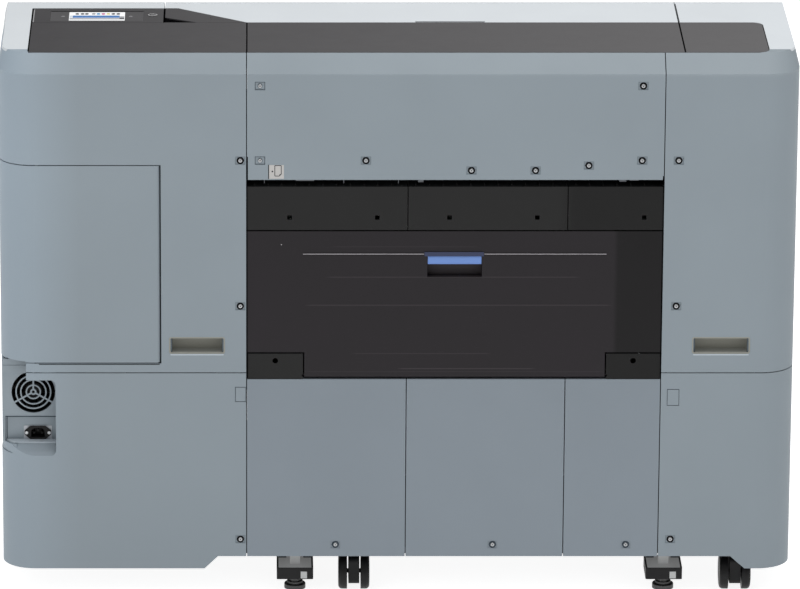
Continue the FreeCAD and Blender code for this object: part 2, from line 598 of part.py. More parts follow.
def frame():
    def layer(z0, z1):
        return seat.common(box(-half, half, rear, front, z0, z1))
    pan = layer(pan_low, pan_top)
    room = soft_box(-half - 5, corner_x + 6, rear - 5, rear + 92, corner_z0 - 6, door_z0 - 2, 3, "z")
    shelf = layer(shelf_z, shelf_z + 3)
    middle = box(side_l + 1, side_r + 2, rear - 5, front + 5, shelf_z - 2, shelf_z + 5)
    bay = box(ink_doors_at[0][0] - 15, ink_doors_at[0][1] + 10, front - 220, front - 25,
              shelf_z - 2, shelf_z + 5)
    bay_r = box(ink_doors_at[1][0] - 7, ink_doors_at[1][1] + 22, front - 220, front - 25,
                shelf_z - 2, shelf_z + 5)
    shelf = shelf.cut([middle, bay, bay_r, room])
    door_room = rod_z(barrel_r + 1.5, shelf_z + 4, door_z1 + 2, *door_axis)
    plates = []
    for x in (side_l, side_r):
        plates.append(box(x, x + plate_t, rear + 20, front - 24, pan_low, 748))
        plates.append(box(x, x + plate_t, rear + 60, rear + 96, 740, height - wall - clear))
        plates.append(box(x, x + plate_t, front - 46, front - 24, 740, brow_z + 1))
    beam = box(64.5 - half, half - 64.5, beam_y0, beam_y1, height - 30, height - wall - clear)
    beam_hollow = box(60.5 - half, half - 60.5, beam_y0 + 3, beam_y1 - 3, height - 27, height - wall - clear - 3)
    rear_rail = union([box(side_l, side_r + plate_t, rear + 14.3, rear + 24, belly_z + 0.5, pan_top),
                       box(side_l, side_r + plate_t, rear + 14.3, rear + 44, window_low_z - 9, window_low_z - 0.8),
                       box(side_l, side_r + plate_t, rear + 40, rear + 59, 736, media_z - 2.2)])
    ties = [box(side_l, side_r + plate_t, y0, y0 + 26, z0, z0 + 26).cut(
            box(side_l - 1, side_r + 9, y0 + 3, y0 + 23, z0 + 3, z0 + 23))
            for y0, z0 in ((rear + 40, window_low_z - 33), (rear + 96, feed_z - 30))]
    sill = box(side_l, side_r + plate_t, front - 46, front - 24, 738, 748)
    lip_top = box(side_l, side_r + plate_t, rear + 30, rear + 80, slot_z + 2.2, slot_z + 6)
    posts = []
    for x in (40.5 - half, half - 60.5):
        posts.append(box(x, x + 20, rear + 100, rear + 130, pan_low, height - wall - clear))
    lugs = []
    px, py = door_axis
    for z0, z1 in ((shelf_z, shelf_z + 8), (door_z1 + 2.5, door_z1 + 10)):
        lug = box(px - 9, side_l + 1, rear + wall + clear, rear + 16, z0, z1)
        lugs.append(lug)
    strut = box(side_l, side_l + plate_t, rear + wall + clear, rear + 24, shelf_z, door_z1 + 10)
    strut_r = box(side_r, side_r + plate_t, rear + wall + clear, rear + 24, shelf_z - 30, door_z1 + 10)
    bore = rod_z(pin_r + pin_clear, shelf_z - 1, door_z1 + 12, px, py)
    hinge_y, hinge_z = lid_hinge
    lid_lugs = []
    for x in lid_arm_x:
        for s in (-1, 1):
            x0 = x + s * 19 - 4
            lid_lugs.append(box(x0, x0 + 8, beam_y1 - 10, beam_y1, height - 64, height - 26))
            lid_lugs.append(box(x0, x0 + 8, beam_y1 - 10, hinge_y + 5, height - 64, height - 48))
            lid_lugs.append(box(x0, x0 + 8, hinge_y - 3.5, hinge_y + 5, height - 64, hinge_z))
            lid_lugs.append(rod_x(3.5, x0, x0 + 8, hinge_y, hinge_z))
    lid_bore = rod_x(pin_r + pin_clear, lid_arm_x[0] - 40, lid_arm_x[1] + 40, hinge_y, hinge_z)
    panel_y, panel_z = hinge_panel
    panel_lugs = [box(x, x + 6, rear + 96, panel_y + 5, height - 30, panel_z + 2.5)
                  for x in (panel_x0 - 8, panel_x1 + 2)]
    panel_bore = rod_x(pin_r + pin_clear, panel_x0 - 20, panel_x1 + 20, panel_y, panel_z)
    post_feet = [rod_z(9, 66, pan_low + 1, x, y) for x, y, _ in wheel_spots]
    stems = [rod_z(5.06, 60, pan_top + 15, x, y) for x, y, _ in wheel_spots]
    body = union([pan, shelf, beam, rear_rail, sill, lip_top, strut, strut_r] + plates + ties + posts
                 + lugs + lid_lugs + panel_lugs + post_feet + drawer_rails())
    sockets = union([rod_z(9, pan_top - 1, pan_top + 14, x, y) for x, y, _ in wheel_spots])
    body = union([body, sockets])
    feed_bore = rod_x(4.05, side_l - 1, side_r + 10, feed_y, feed_z)
    screws = [rod_y(screw_hole_r, rear, rear + 16, x, z) for x, z in panel_screws + tower_screws + foot_screws]
    return body.cut([beam_hollow, door_room, bore, lid_bore, panel_bore, feed_bore] + stems + screws)


# --- casters and levelling feet ------------------------------------------------------------
wheel_r, wheel_w = 32.5, 15.5
wheel_in = 12.2           # inner face of each wheel from the caster's middle
trail = 16.0


def caster_fork(x, y, turn):
    plate = rod_z(11.5, 60, 65.5, 0, 0)
    stem = rod_z(5.0, 60, pan_top + 12, 0, 0)
    web = soft_box(-9.7, 9.7, -trail - 24, 14, 14, 64, 9, "x")
    axle = rod_x(4, -wheel_in - wheel_w + 4, wheel_in + wheel_w - 4, -trail, wheel_r)
    fork = union([plate, stem, web, axle])
    fork.rotate(V(0, 0, 0), Z, turn)
    return fork.translated(V(x, y, 0))


def caster_wheels(x, y, turn):
    made = []
    for s in (-1, 1):
        x0, x1 = sorted((s * wheel_in, s * (wheel_in + wheel_w)))
        tyre = rod_x(wheel_r, x0, x1, -trail, wheel_r)
        rim = [e for e in tyre.Edges if len(e.Vertexes) == 1 and abs(e.CenterOfMass.x) > wheel_in + 1]
        tyre = tyre.makeFillet(7.0, rim)
        wheel = tyre.cut(rod_x(4.05, x0 - 1, x1 - 3 if s > 0 else x1 + 1, -trail, wheel_r)) if s > 0 \
            else tyre.cut(rod_x(4.05, x0 + 3, x1 + 1, -trail, wheel_r))
        wheel.rotate(V(0, 0, 0), Z, turn)
        made.append(wheel.translated(V(x, y, 0)))
    return made


block_half, block_z0, block_z1 = 32.5, 25.0, 43.0


def foot_blocks():
    made = []
    for x, y in foot_spots:
        s = 1 if y < 0 else -1
        y0, y1 = sorted((y - s * 30, y + s * 42))
        body = soft_box(x - block_half, x + block_half, y0, y1, block_z0, block_z1, 3, "z")
        top = soft_box(x - block_half, x + block_half, y0, y1, block_z1, block_z1 + 3, 3, "z")
        pool = soft_box(x - block_half + 3, x + block_half - 3, y0 + 3, y1 - 3, block_z1 + 1.5, block_z1 + 4, 2, "z")
        inner_y0, inner_y1 = sorted((y + s * 26, y + s * 40))
        posts = [box(x + dx - 7, x + dx + 7, inner_y0, inner_y1, block_z1, pan_low) for dx in (-22, 22)]
        shaft = rod_z(6.05, block_z0 - 1, block_z1 + 4, x, y)
        made.append(union([body, top.cut(pool)] + posts).cut(shaft))
    return made


def levelling_foot(x, y):
    pad = rod_z(19, 0, 9, x, y)
    pad = pad.makeFillet(2.0, [e for e in pad.Edges if len(e.Vertexes) == 1 and e.CenterOfMass.z > 5])
    ring = rod_z(14, 8, 13, x, y)
    nut = prism_z([(x + 11 * math.cos(math.radians(60 * k)), y + 11 * math.sin(math.radians(60 * k)))
                   for k in range(6)], 12, 18)
    slot = box(x - 6, x + 6, y - 1, y + 1, block_z1 + 8, block_z1 + 12)
    return union([pad, ring, nut, rod_z(6, 12, block_z1 + 10, x, y)]).cut(slot)


# --- front: drawers, rolls, supply doors ---------------------------------------------------
ink_doors_at = [(60.5 - half, left_x - 64), (right_x + 41, half - 60.5)]
ink_z0, ink_z1 = 470.0, 740.0
roll_r, core_r, spindle_r = 62.0, 28.0, 12.0
roll_x0, roll_x1 = left_x + 60, right_x - 60
roll_y = front - 105.0
drawer_x0, drawer_x1 = side_l + plate_t + 12.0, side_r - 12.0
drawer_span = {"upper": (drawer_split_z + g, 734.0), "lower": (belly_z + 18, drawer_split_z - g)}


def supply_door(k):
    x0, x1 = ink_doors_at[k]
    panel = soft_box(x0 + g, x1 - g, front - wall, front, ink_z0 + 3, ink_z1 - g, 7.0, "y")
    pull = soft_box((x0 + x1) / 2 - 40, (x0 + x1) / 2 + 40, front - 1.5, front + 1, ink_z1 - 26, ink_z1 - 12, 5, "y")
    y, z = front - 9.0, ink_z0 + 8
    arms = [box(x - 6, x + 6, y, front - 1, z - 4, z + 4) for x in (x0 + 20, x1 - 20)]
    eyes = [rod_x(4.5, x - 6, x + 6, y, z) for x in (x0 + 20, x1 - 20)]
    pins = [rod_x(pin_r, x - 12, x + 12, y, z) for x in (x0 + 20, x1 - 20)]
    return union([panel.cut(pull)] + arms + eyes + pins)


def supply_bay(k):
    x0, x1 = ink_doors_at[k]
    y0, y1 = front - 200, front - wall - 1.5
    out = box(x0 - 6, x1 + 6, y0, y1, ink_z0 - 8, ink_z1 + 6)
    hollow = box(x0 - 3, x1 + 3, y0 + 3, y1 + 5, ink_z0 - 5, ink_z1 + 3)
    lugs = []
    for x in (x0 + 20, x1 - 20):
        for s in (-1, 1):
            a = x + s * 10 - 3
            lugs.append(box(a, a + 6, front - 23, front - 5.5, ink_z0 + 3.5, ink_z0 + 12.5))
            lugs.append(box(a, a + 6, front - 23, front - 17, ink_z0 - 6, ink_z0 + 12.5))
    pitch = 46.0
    count = int((x1 - x0) // pitch)
    start = (x0 + x1 - pitch * count) / 2
    walls = [box(start + k2 * pitch - 1, start + k2 * pitch + 1, y0 + 2, y0 + 150, ink_z0 - 6, ink_z0 + 40)
             for k2 in range(1, count)]
    bore = rod_x(pin_r + pin_clear, x0, x1, front - 9.0, ink_z0 + 8)
    bay = union([out.cut(hollow)] + lugs + walls).cut(bore)
    ties = [box(x0 - 6, x1 + 6, y0 + 4, y0 + 40, ink_z0 - 20, ink_z0 - 7),
            box(x0 - 6, x1 + 6, y0 + 4, y0 + 40, shelf_z + 3, ink_z0 - 7)]
    reach = box(side_l - 60, side_l, y0 + 4, y0 + 40, ink_z0 - 8, ink_z0 + 30) if k == 0 \
        else box(side_r + plate_t, x0, y0 + 4, y0 + 40, ink_z0 - 8, ink_z0 + 30)
    tanks = []
    for k2 in range(count):
        a = start + k2 * pitch
        tank = soft_box(a + 3, a + pitch - 3, y0 + 4, y1 - 22, ink_z0 - 4.8, ink_z1 - 60, 3, "y")
        grip = box(a + 12, a + pitch - 12, y1 - 23, y1 - 16, ink_z0 + 60, ink_z0 + 110)
        tanks.append(union([tank, grip]))
    return union([bay, ties[0], reach]), tanks


def drawer(name):
    z0, z1 = drawer_span[name]
    x0, x1 = left_x + gap, right_x - gap
    face = soft_box(x0, x1, front - 20, front, z0, z1, 6.0, "x")
    face = face.cut(box(x0 + 2.5, x1 - 2.5, front - 21, front - 2.5, z0 + 2.5, z1 - 2.5))
    grip = soft_box(x0 + 204.4, x1 - 204.4, front - 16, front + 1, z1 - 42, z1 - 20, 8, "y")
    grip_wall = soft_box(x0 + 202.4, x1 - 202.4, front - 18, front - 1, z1 - 44, z1 - 18, 9, "y")
    window = soft_box(x0 + 90, x1 - 90, front - 5, front + 1, z1 - 120, z1 - 66, 10, "y")
    rail_z = z0 + 22
    sides = [box(x, x + 3, front - 330, front - 18, rail_z - 12, rail_z + 12) for x in (drawer_x0, drawer_x1 - 3)]
    cz = (z0 + z1) / 2 - 14
    hangers = []
    for x in (drawer_x0, drawer_x1 - 3):
        hanger = box(x, x + 3, roll_y - 26, roll_y + 26, rail_z, cz + 16)
        saddle = rod_x(spindle_r + 0.05, x - 1, x + 4, roll_y, cz)
        hangers.append(hanger.cut([saddle, box(x - 1, x + 4, roll_y - spindle_r + 0.5, roll_y + spindle_r - 0.5, cz, cz + 20)]))
    tray = box(drawer_x0, drawer_x1, front - 300, front - 18, rail_z - 12, rail_z - 10)
    shape = union([face, grip_wall, tray] + sides + hangers).cut([grip, window])
    pane = soft_box(x0 + 90.2, x1 - 90.2, front - 5, front - 2.5, z1 - 119.8, z1 - 66.2, 9.8, "y")
    keep = soft_box(x0 + 86, x1 - 86, front - 6, front - 2.6, z1 - 124, z1 - 62, 10, "y")
    shape = union([shape, keep.cut(window)])
    return [shape, pane]


def drawer_rails():
    made = []
    for name in ("upper", "lower"):
        rail_z = drawer_span[name][0] + 22
        for inner, outer_x in ((drawer_x0, side_l + plate_t), (drawer_x1, side_r)):
            a, b = sorted((inner + (0.3 if outer_x > inner else -0.3), outer_x))
            made.append(box(a, b, front - 400, front - 40, rail_z - 10, rail_z + 10))
            c, d = sorted((inner + (-6 if outer_x > inner else 6), outer_x))
            made.append(box(c, d, front - 400, front - 40, rail_z - 15, rail_z - 12.3))
    return made


def roll(name):
    z0, z1 = drawer_span[name]
    cz = (z0 + z1) / 2 - 14
    web = rod_x(roll_r, roll_x0, roll_x1, roll_y, cz)
    spindle = rod_x(spindle_r, drawer_x0 - 4, drawer_x1 + 4, roll_y, cz)
    flanges = [rod_x(roll_r + 10, x, x + 6, roll_y, cz) for x in (roll_x0 - 6, roll_x1)]
    hubs = [rod_x(core_r, x, x + 22, roll_y, cz) for x in (roll_x0 - 24, roll_x1 + 2)]
    ends = [rod_x(spindle_r + 4, x, x + 4, roll_y, cz) for x in (drawer_x0 + 4, drawer_x1 - 8)]
    web = web.cut(rod_x(spindle_r, roll_x0 - 1, roll_x1 + 1, roll_y, cz))
    return [union([spindle] + flanges + hubs + ends), web]


# --- print and cut mechanism ---------------------------------------------------------------
rail_y, rail_z, rail_r = rear + 150.0, 812.0, 9.0
rail_x0, rail_x1 = 60.5 - half, half - 80.5
car_x, car_half = left_x - 204.0, 62.0
feed_y, feed_z, feed_r = rear + 178.0, 742.0, 12.0
nip_r = 7.0
belt_y, belt_z, pulley_r, belt_t = rear + 118.0, 846.0, 9.0, 1.6
pulley_x = (rail_x0 + 30.0, rail_x1 - 20.0)
cutter_y0, cutter_y1 = rear + 286.0, rear + 330.0
cutter_x = right_x - 84.0


def carriage_rail():
    rod = rod_x(rail_r, rail_x0, rail_x1, rail_y, rail_z)
    ends = [box(x, x + 10, rear + 130.2, rail_y + 20, rail_z - 26, rail_z + 22) for x in (rail_x0 - 16, rail_x1 + 8)]
    bosses = [rod_x(14, x, x + 10, rail_y, rail_z) for x in (rail_x0 - 8, rail_x1)]
    rear_rod = rod_x(5, rail_x0 - 10, rail_x1 + 12, rail_y + 16, rail_z - 20)
    return union([rod, rear_rod] + ends + bosses)


def pulley_mounts():
    made = []
    for k, x in enumerate(pulley_x):
        reach = (rail_x0, x + 14) if k == 0 else (x - 14, rail_x1 + 20)
        plate = box(reach[0], reach[1], rear + 100.2, rear + 129.9, belt_z - 14, belt_z - 11)
        made.append(union([plate, rod_z(3.0, belt_z - 12, belt_z + 10, x, belt_y)]))
    return made


def pulley(k):
    x = pulley_x[k]
    body = rod_z(pulley_r, belt_z - 6, belt_z + 6, x, belt_y)
    rims = [rod_z(pulley_r + 2.5, z, z + 1.5, x, belt_y) for z in (belt_z - 7.5, belt_z + 6)]
    return union([body] + rims).cut(rod_z(3.05, belt_z - 9, belt_z + 9, x, belt_y))


def belt():
    r0, r1 = pulley_r + 0.3, pulley_r + 0.3 + belt_t
    a, b = pulley_x

    def loop(r):
        return union([rod_z(r, belt_z - 4, belt_z + 4, a, belt_y), rod_z(r, belt_z - 4, belt_z + 4, b, belt_y),
                      box(a, b, belt_y - r, belt_y + r, belt_z - 4, belt_z + 4)])
    return loop(r1).cut(loop(r0))


def carriage():
    x0, x1 = car_x - car_half, car_x + car_half
    body = soft_box(x0, x1, rail_y + 14, rail_y + 108, media_z + 14, rail_z + 62, 8, "x")
    saddle = soft_box(x0, x1, rail_y - 18, rail_y + 30, rail_z - 20, rail_z + 20, 5, "x")
    nose = box(x0 + 10, x1 - 10, rail_y + 42, rail_y + 96, media_z + 4, media_z + 16)
    clamp = box(car_x - 18, car_x + 18, belt_y + pulley_r + 2.4, rail_y + 4, rail_z + 10, belt_z + 6)
    tubes = box(car_x - 40, car_x + 40, rail_y + 40, rail_y + 90, rail_z + 60, rail_z + 72)
    bore = rod_x(rail_r + 0.06, x0 - 1, x1 + 1, rail_y, rail_z)
    low = box(x0 - 1, x1 + 1, rail_y + 9, rail_y + 23.5, rail_z - 30, rail_z - 12)
    return union([body, saddle, nose, clamp, tubes]).cut([bore, low])


def feed_roller():
    shaft = rod_x(4.0, side_l - 6, side_r + 34, feed_y, feed_z)
    drum = rod_x(feed_r, side_l + 8, side_r - 6, feed_y, feed_z)
    gear = gear_x(24, 30.0, side_r + 12, side_r + 20, feed_y, feed_z, 0.0)
    return union([shaft, drum, gear])


def gear_x(teeth, r, x0, x1, y, z, turn):
    """Spur gear on an X shaft with simple trapezoid teeth."""
    tall = 2.1 * r / teeth
    points = []
    for k in range(teeth):
        for da, rr in ((-0.33, r - tall), (-0.13, r + tall * 0.85), (0.13, r + tall * 0.85), (0.33, r - tall)):
            a = math.radians(turn + (k + da) * 360.0 / teeth)
            points.append((y + rr * math.cos(a), z + rr * math.sin(a)))
    return prism_x(points, x0, x1)


pinion_teeth, pinion_r = 12, 15.0
pinion_z = feed_z - 45.6


def feed_motor():
    x = side_r + plate_t
    body = soft_box(x + 20, x + 62, feed_y - 21, feed_y + 21, pinion_z - 21, pinion_z + 21, 4, "x")
    plate = box(x, x + 20, feed_y - 26, feed_y - 22, pinion_z - 24, pinion_z - 18)
    bridge = box(x, x + 24, feed_y - 26, feed_y + 26, pinion_z - 26, pinion_z - 20)
    return union([body, plate, bridge]).cut(rod_x(3.05, x + 10, x + 40, feed_y, pinion_z))


def motor_pinion():
    gear = gear_x(pinion_teeth, pinion_r, side_r + 12.5, side_r + 19.5, feed_y, pinion_z, 15.0)
    return union([gear, rod_x(3.0, side_r + 12.5, side_r + 40, feed_y, pinion_z)])


def nip_rollers():
    z = feed_z + feed_r + nip_r + 0.3
    shaft = rod_x(2.5, side_l + plate_t + 2, side_r - 2, feed_y, z)
    count = int((right_x - left_x - 50) // 90)
    rolls = [rod_x(nip_r, left_x + 41 + 90 * k, left_x + 81 + 90 * k, feed_y, z) for k in range(count + 1)]
    return union([shaft] + rolls)


def nip_arms():
    z = feed_z + feed_r + nip_r + 0.3
    made = []
    bar = box(side_l + plate_t, side_r, rear + 124.2, rear + 132, 766, 776)
    arms = [box(x - 4, x + 4, rear + 124.2, feed_y + 6, z - 6, z + 6) for x in (left_x + 31, (left_x + right_x) / 2 + 11, right_x - 9)]
    arms = [a.cut(rod_x(2.55, side_l, side_r, feed_y, z)) for a in arms]
    made.append(union([bar] + arms))
    return made


def platen():
    y0, y1 = feed_y + feed_r + 3, rear + 284.0
    top = box(side_l + plate_t + 2, side_r - 2, y0, y1, media_z - 6, media_z)
    slots = [box(x, x + 6, y0 + 12, y1 - 12, media_z - 2, media_z + 1) for x in range(round(left_x) + 16, round(right_x) - 14, 28)]
    legs = [box(x, x + 10, y0 + 10, y1 - 10, 738.3, media_z - 5) for x in (side_l + plate_t, side_r - 10)]
    return cut(union([top] + legs), slots)


def exit_guide():
    base = box(side_l + plate_t, side_r, cutter_y1 + 4, front - wall, 748.2, 752)
    lip = box(side_l + plate_t, side_r, cutter_y1 + 4, cutter_y1 + 6, 742, 752)
    channel = box(side_l + plate_t, side_r, cutter_y0 + 2, cutter_y1 - 12, 776, 779)
    ends = [box(x, x + 6, cutter_y0 + 2, front - 24, 748.2, 779) for x in (side_l + plate_t, side_r - 6)]
    return union([base, lip, channel] + ends)


def cutter():
    x0, x1 = cutter_x - 22, cutter_x + 22
    body = soft_box(x0, x1, cutter_y0 - 1, cutter_y1 + 1, 779.4, 808, 4, "x")
    blade_hub = rod_y(9, cutter_y1 - 11.6, cutter_y1 - 4, cutter_x, 768)
    drop = box(x0 + 6, x1 - 6, cutter_y1 - 11.7, cutter_y1 - 3, 764, 782)
    hook = box(x0, x1, cutter_y0 - 1, cutter_y0 + 1.7, 774, 782)
    return union([body, blade_hub, drop, hook])


def supply_unit():
    """Mains supply box behind the inlet, standing on the base pan."""
    return [box(64.5 - half, left_x - 234, rear + inlet_plate_run + 60, rear + 240, pan_top, 330),
            box(left_x - 214, left_x - 54, rear + 40, rear + 70, pan_top, 400)]


# --- node list -----------------------------------------------------------------------------
strip_l, strip_m, strip_r = dark_strips()
bay_l, tanks_l = supply_bay(0)
bay_r, tanks_r = supply_bay(1)

nodes = {
    "frame": frame(),
    "left_upper_cover": left_upper_rear_cover(),
    "left_lower_cover": left_lower_rear_cover(),
    "right_upper_cover": right_upper_rear_cover(),
    "right_lower_cover": right_lower_rear_cover(),
    "left_front_cover": front_cover(True),
    "right_front_cover": front_cover(False),
    "rear_upper_panel": rear_upper_panel(),
    "lower_panels": lower_panels(),
    "guide_plates": guide_plates(),
    "corner_brackets": corner_brackets(),
    "strip_left": strip_l,
    "strip_middle": strip_m,
    "strip_right": strip_r,
    "top_cover": top_cover(),
    "control_panel": control_panel(),
    "screen": screen(),
    "power_button": power_button(),
    "access_door": access_door(),
    "grip_cups": grip_cups(),
    "corner_plate": corner_plate(),
    "fan_housing": fan_housing(),
    "fan_impeller": fan_impeller(),
    "power_inlet": power_inlet(),
    "supply_unit": supply_unit(),
    "rear_window": rear_window(),
    "window_latch": window_latch(),
    "cover_screws": cover_screws(),
    "foot_blocks": foot_blocks(),
    "supply_door_left": supply_door(0),
    "supply_door_right": supply_door(1),
    "supply_bays": [bay_l, bay_r],
    "supply_tanks": tanks_l + tanks_r,
    "drawer_upper": drawer("upper"),
    "drawer_lower": drawer("lower"),
    "roll_upper": roll("upper"),
    "roll_lower": roll("lower"),
    "carriage_rail": [carriage_rail()] + pulley_mounts(),
    "drive_pulley": pulley(0),
    "idler_pulley": pulley(1),
    "drive_belt": belt(),
    "carriage": carriage(),
    "feed_roller": feed_roller(),
    "feed_motor": feed_motor(),
    "motor_pinion": motor_pinion(),
    "nip_rollers": nip_rollers(),
    "print_bed": nip_arms() + [platen(), exit_guide()],
    "cutter": cutter(),
}
places = ("rear_left", "rear_right", "front_left", "front_right")
for place, spot in zip(places, wheel_spots):
    nodes["caster_" + place] = caster_fork(*spot)
    nodes["wheels_" + place] = caster_wheels(*spot)
for place, spot in zip(places, foot_spots):
    nodes["foot_" + place] = levelling_foot(*spot)

os.makedirs("parts", exist_ok=True)
for name, shape in nodes.items():
    solids = shape if isinstance(shape, list) else [shape]
    solids = [s for item in solids for s in item.Solids]
    made = solids[0] if len(solids) == 1 else Part.makeCompound(solids)
    made.exportStep(os.path.join("parts", name + ".step"))
    print(name, len(solids), round(sum(s.Volume for s in solids) / 1000), all(s.isValid() for s in solids))
print(len(nodes), "nodes")
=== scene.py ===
import math

import bmesh
import bpy
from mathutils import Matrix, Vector


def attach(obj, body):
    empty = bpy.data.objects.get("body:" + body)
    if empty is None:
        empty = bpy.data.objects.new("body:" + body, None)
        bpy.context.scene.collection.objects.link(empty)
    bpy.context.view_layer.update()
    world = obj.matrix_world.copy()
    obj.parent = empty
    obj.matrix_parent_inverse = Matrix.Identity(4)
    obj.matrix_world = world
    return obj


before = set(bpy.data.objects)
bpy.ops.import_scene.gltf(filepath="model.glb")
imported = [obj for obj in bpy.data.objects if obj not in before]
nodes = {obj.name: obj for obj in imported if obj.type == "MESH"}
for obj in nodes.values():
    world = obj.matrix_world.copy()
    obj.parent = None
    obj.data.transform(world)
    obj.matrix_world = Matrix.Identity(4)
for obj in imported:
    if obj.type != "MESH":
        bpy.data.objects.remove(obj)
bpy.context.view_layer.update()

MM = 0.001
REAR = -333.5                  # the service face; all lengths below are in millimetres
DECK = 991.0                   # height of the flat deck
LEFT_SEAM, RIGHT_SEAM = -266.0, 464.0      # seams beside the centre, on the rear face
DECK_SEAM = 499.0              # seam between middle and right dark strip
STRIP_END = 646.0              # ends of the dark strips, left and right of the middle
BAY_END = -412.0               # right end of the control panel's bay


# ---------------------------------------------------------------- shader maths

class Val:
    """A socket that can be used in Python expressions."""

    def __init__(self, finish, socket):
        self.finish = finish
        self.socket = socket

    def _math(self, operation, a, b):
        return self.finish.node("ShaderNodeMath", {"operation": operation}, {0: a, 1: b})

    def __add__(self, other):
        return self._math("ADD", self, other)

    __radd__ = __add__

    def __sub__(self, other):
        return self._math("SUBTRACT", self, other)

    def __rsub__(self, other):
        return self._math("SUBTRACT", other, self)

    def __mul__(self, other):
        return self._math("MULTIPLY", self, other)

    __rmul__ = __mul__


class Finish:
    """One procedural material, built node by node."""

    def __init__(self, name, **fixed):
        self.material = bpy.data.materials.new(name)
        self.material.use_nodes = True
        self.tree = self.material.node_tree
        self.tree.nodes.clear()
        self.out = self.tree.nodes.new("ShaderNodeOutputMaterial")
        self.shader = self.tree.nodes.new("ShaderNodeBsdfPrincipled")
        self.tree.links.new(self.shader.outputs[0], self.out.inputs["Surface"])
        for key, value in fixed.items():
            socket = key.replace("_", " ").title().replace("Ior", "IOR")
            self.shader.inputs[socket].default_value = value

    def node(self, kind, settings=None, inputs=None, output=0):
        """One shader node: its settings first, then its sockets."""
        made = self.tree.nodes.new(kind)
        for key, value in (settings or {}).items():
            setattr(made, key, value)
        for key, value in (inputs or {}).items():
            socket = made.inputs[key]
            if isinstance(value, Val):
                self.tree.links.new(value.socket, socket)
            else:
                if socket.type == "RGBA" and len(value) == 3:
                    value = tuple(value) + (1.0,)
                socket.default_value = value
        return Val(self, made.outputs[output])

    def place(self):
        return self.node("ShaderNodeTexCoord", output=3)

    def axes(self):
        """Place on the piece, in millimetres."""
        split = self.node("ShaderNodeSeparateXYZ", {}, {0: self.place()})
        return [Val(self, out) * 1000.0 for out in split.socket.node.outputs]

    def noise(self, scale, detail=3.0, rough=0.5, stretch=None):
        vector = self.place()
        if stretch:
            vector = self.node("ShaderNodeVectorMath", {"operation": "MULTIPLY"},
                               {0: vector, 1: stretch})
        return self.node("ShaderNodeTexNoise", {"noise_dimensions": "3D"},
                         {"Vector": vector, "Scale": scale, "Detail": detail, "Roughness": rough})

    def ramp(self, value, low, high):
        return self.node("ShaderNodeMapRange", {"clamp": True},
                         {"Value": value, "From Min": low, "From Max": high, "To Min": 0.0, "To Max": 1.0})

    def mix(self, amount, a, b):
        return self.node("ShaderNodeMix", {"data_type": "RGBA", "blend_type": "MIX"},
                         {0: amount, 6: a, 7: b}, output=2)

    def within(self, value, low, high, soft=0.4):
        """1 between low and high, with a soft edge."""
        return self.ramp(value, low - soft, low + soft) * (1 - self.ramp(value, high - soft, high + soft))

    def set(self, name, value):
        self.tree.links.new(value.socket, self.shader.inputs[name])

    def bump(self, height, distance, strength=1.0):
        normal = self.node("ShaderNodeBump", {},
                           {"Strength": strength, "Distance": distance, "Height": height})
        self.set("Normal", normal)


def srgb(r, g, b):
    def one(c):
        c /= 255.0
        return c / 12.92 if c <= 0.04045 else ((c + 0.055) / 1.055) ** 2.4
    return one(r), one(g), one(b)


def shade(colour, k):
    return tuple(min(1.0, c * k) for c in colour)


def moulded(name, colour, rough=0.5, grain=2600.0, depth=0.00004, spread=0.03, spec=0.35,
            tint=None, glow=0.0):
    """Moulded or painted panel: fine grain, faint clouding, a little dust and handling gloss."""
    f = Finish(name, specular_ior_level=spec)
    cloud = f.noise(3.2, 4.0, 0.6)
    tone = f.mix(f.ramp(cloud, 0.3, 0.7), shade(colour, 1 - spread), shade(colour, 1 + spread))
    if tint:
        tone = tint(f, tone)
    speck = f.noise(420.0, 2.0, 0.5)
    tone = f.mix(f.ramp(speck, 0.5, 0.8) * 0.08, tone, shade(colour, 0.8))
    f.set("Base Color", tone)
    if glow:
        f.set("Emission Color", tone)
        f.shader.inputs["Emission Strength"].default_value = glow
    wear = f.noise(14.0, 5.0, 0.65)
    f.set("Roughness", rough + f.ramp(wear, 0.35, 0.75) * 0.12 - 0.06)
    f.bump(f.noise(grain, 2.0, 0.6), depth, 0.6)
    return f.material


def panel_tint_and_painted_light(f, tone):
    """Cooler and lighter near the left end; painted shade, darker towards the floor; a painted highlight on the
    right slope.
    """
    x, y, z = f.axes()
    left = 1 - f.ramp(x, -700.0, -560.0)
    tone = f.mix(left * 0.4, tone, srgb(172, 190, 206))
    # painted shade: darker towards the floor
    tone = f.mix((1 - f.ramp(z, 60.0, 760.0)) * 0.5, tone, shade(PANEL, 0.80))
    # painted highlight: the slope lighter towards its right-hand end
    slope = f.ramp(z, 955.0, 963.0) * f.ramp(x, -300.0, 600.0)
    return f.mix(slope * 0.14, tone, srgb(182, 190, 194))


def light_tint(f, tone):
    """The pale deck falls off a little towards its left end."""
    x, y, z = f.axes()
    return f.mix((1 - f.ramp(x, -500.0, 650.0)) * 0.5, tone, shade(LIGHT, 0.84))


def plate_tint(f, tone):
    """The last guide plate sits in deeper shade."""
    x, y, z = f.axes()
    return f.mix(f.ramp(x, 280.0, 310.0), tone, srgb(31, 31, 31))


def corner_tint_and_highlight(f, tone):
    """Lighter bare seat behind the mains inlet, and a painted highlight on the lower ledge."""
    x, y, z = f.axes()
    seat = f.within(x, -661.0, -611.0, 0.2) * f.within(z, 282.0, 307.0, 0.2)
    seat = seat * f.within(y, REAR + 34, REAR + 37)
    tone = f.mix(seat, tone, srgb(176, 180, 186))
    # painted highlight: lighter at and below the shelf under the inlet
    return f.mix((1 - f.ramp(z, 279.0, 283.0)) * 0.4, tone, srgb(190, 202, 210))


def cup_tint(f, tone):
    """The grips' side and lower walls catch more light than their back."""
    x, y, z = f.axes()
    side = f.within(y, REAR + 2.0, REAR + 27.0, 2.0)
    return f.mix(side * 0.35, tone, srgb(146, 150, 152))


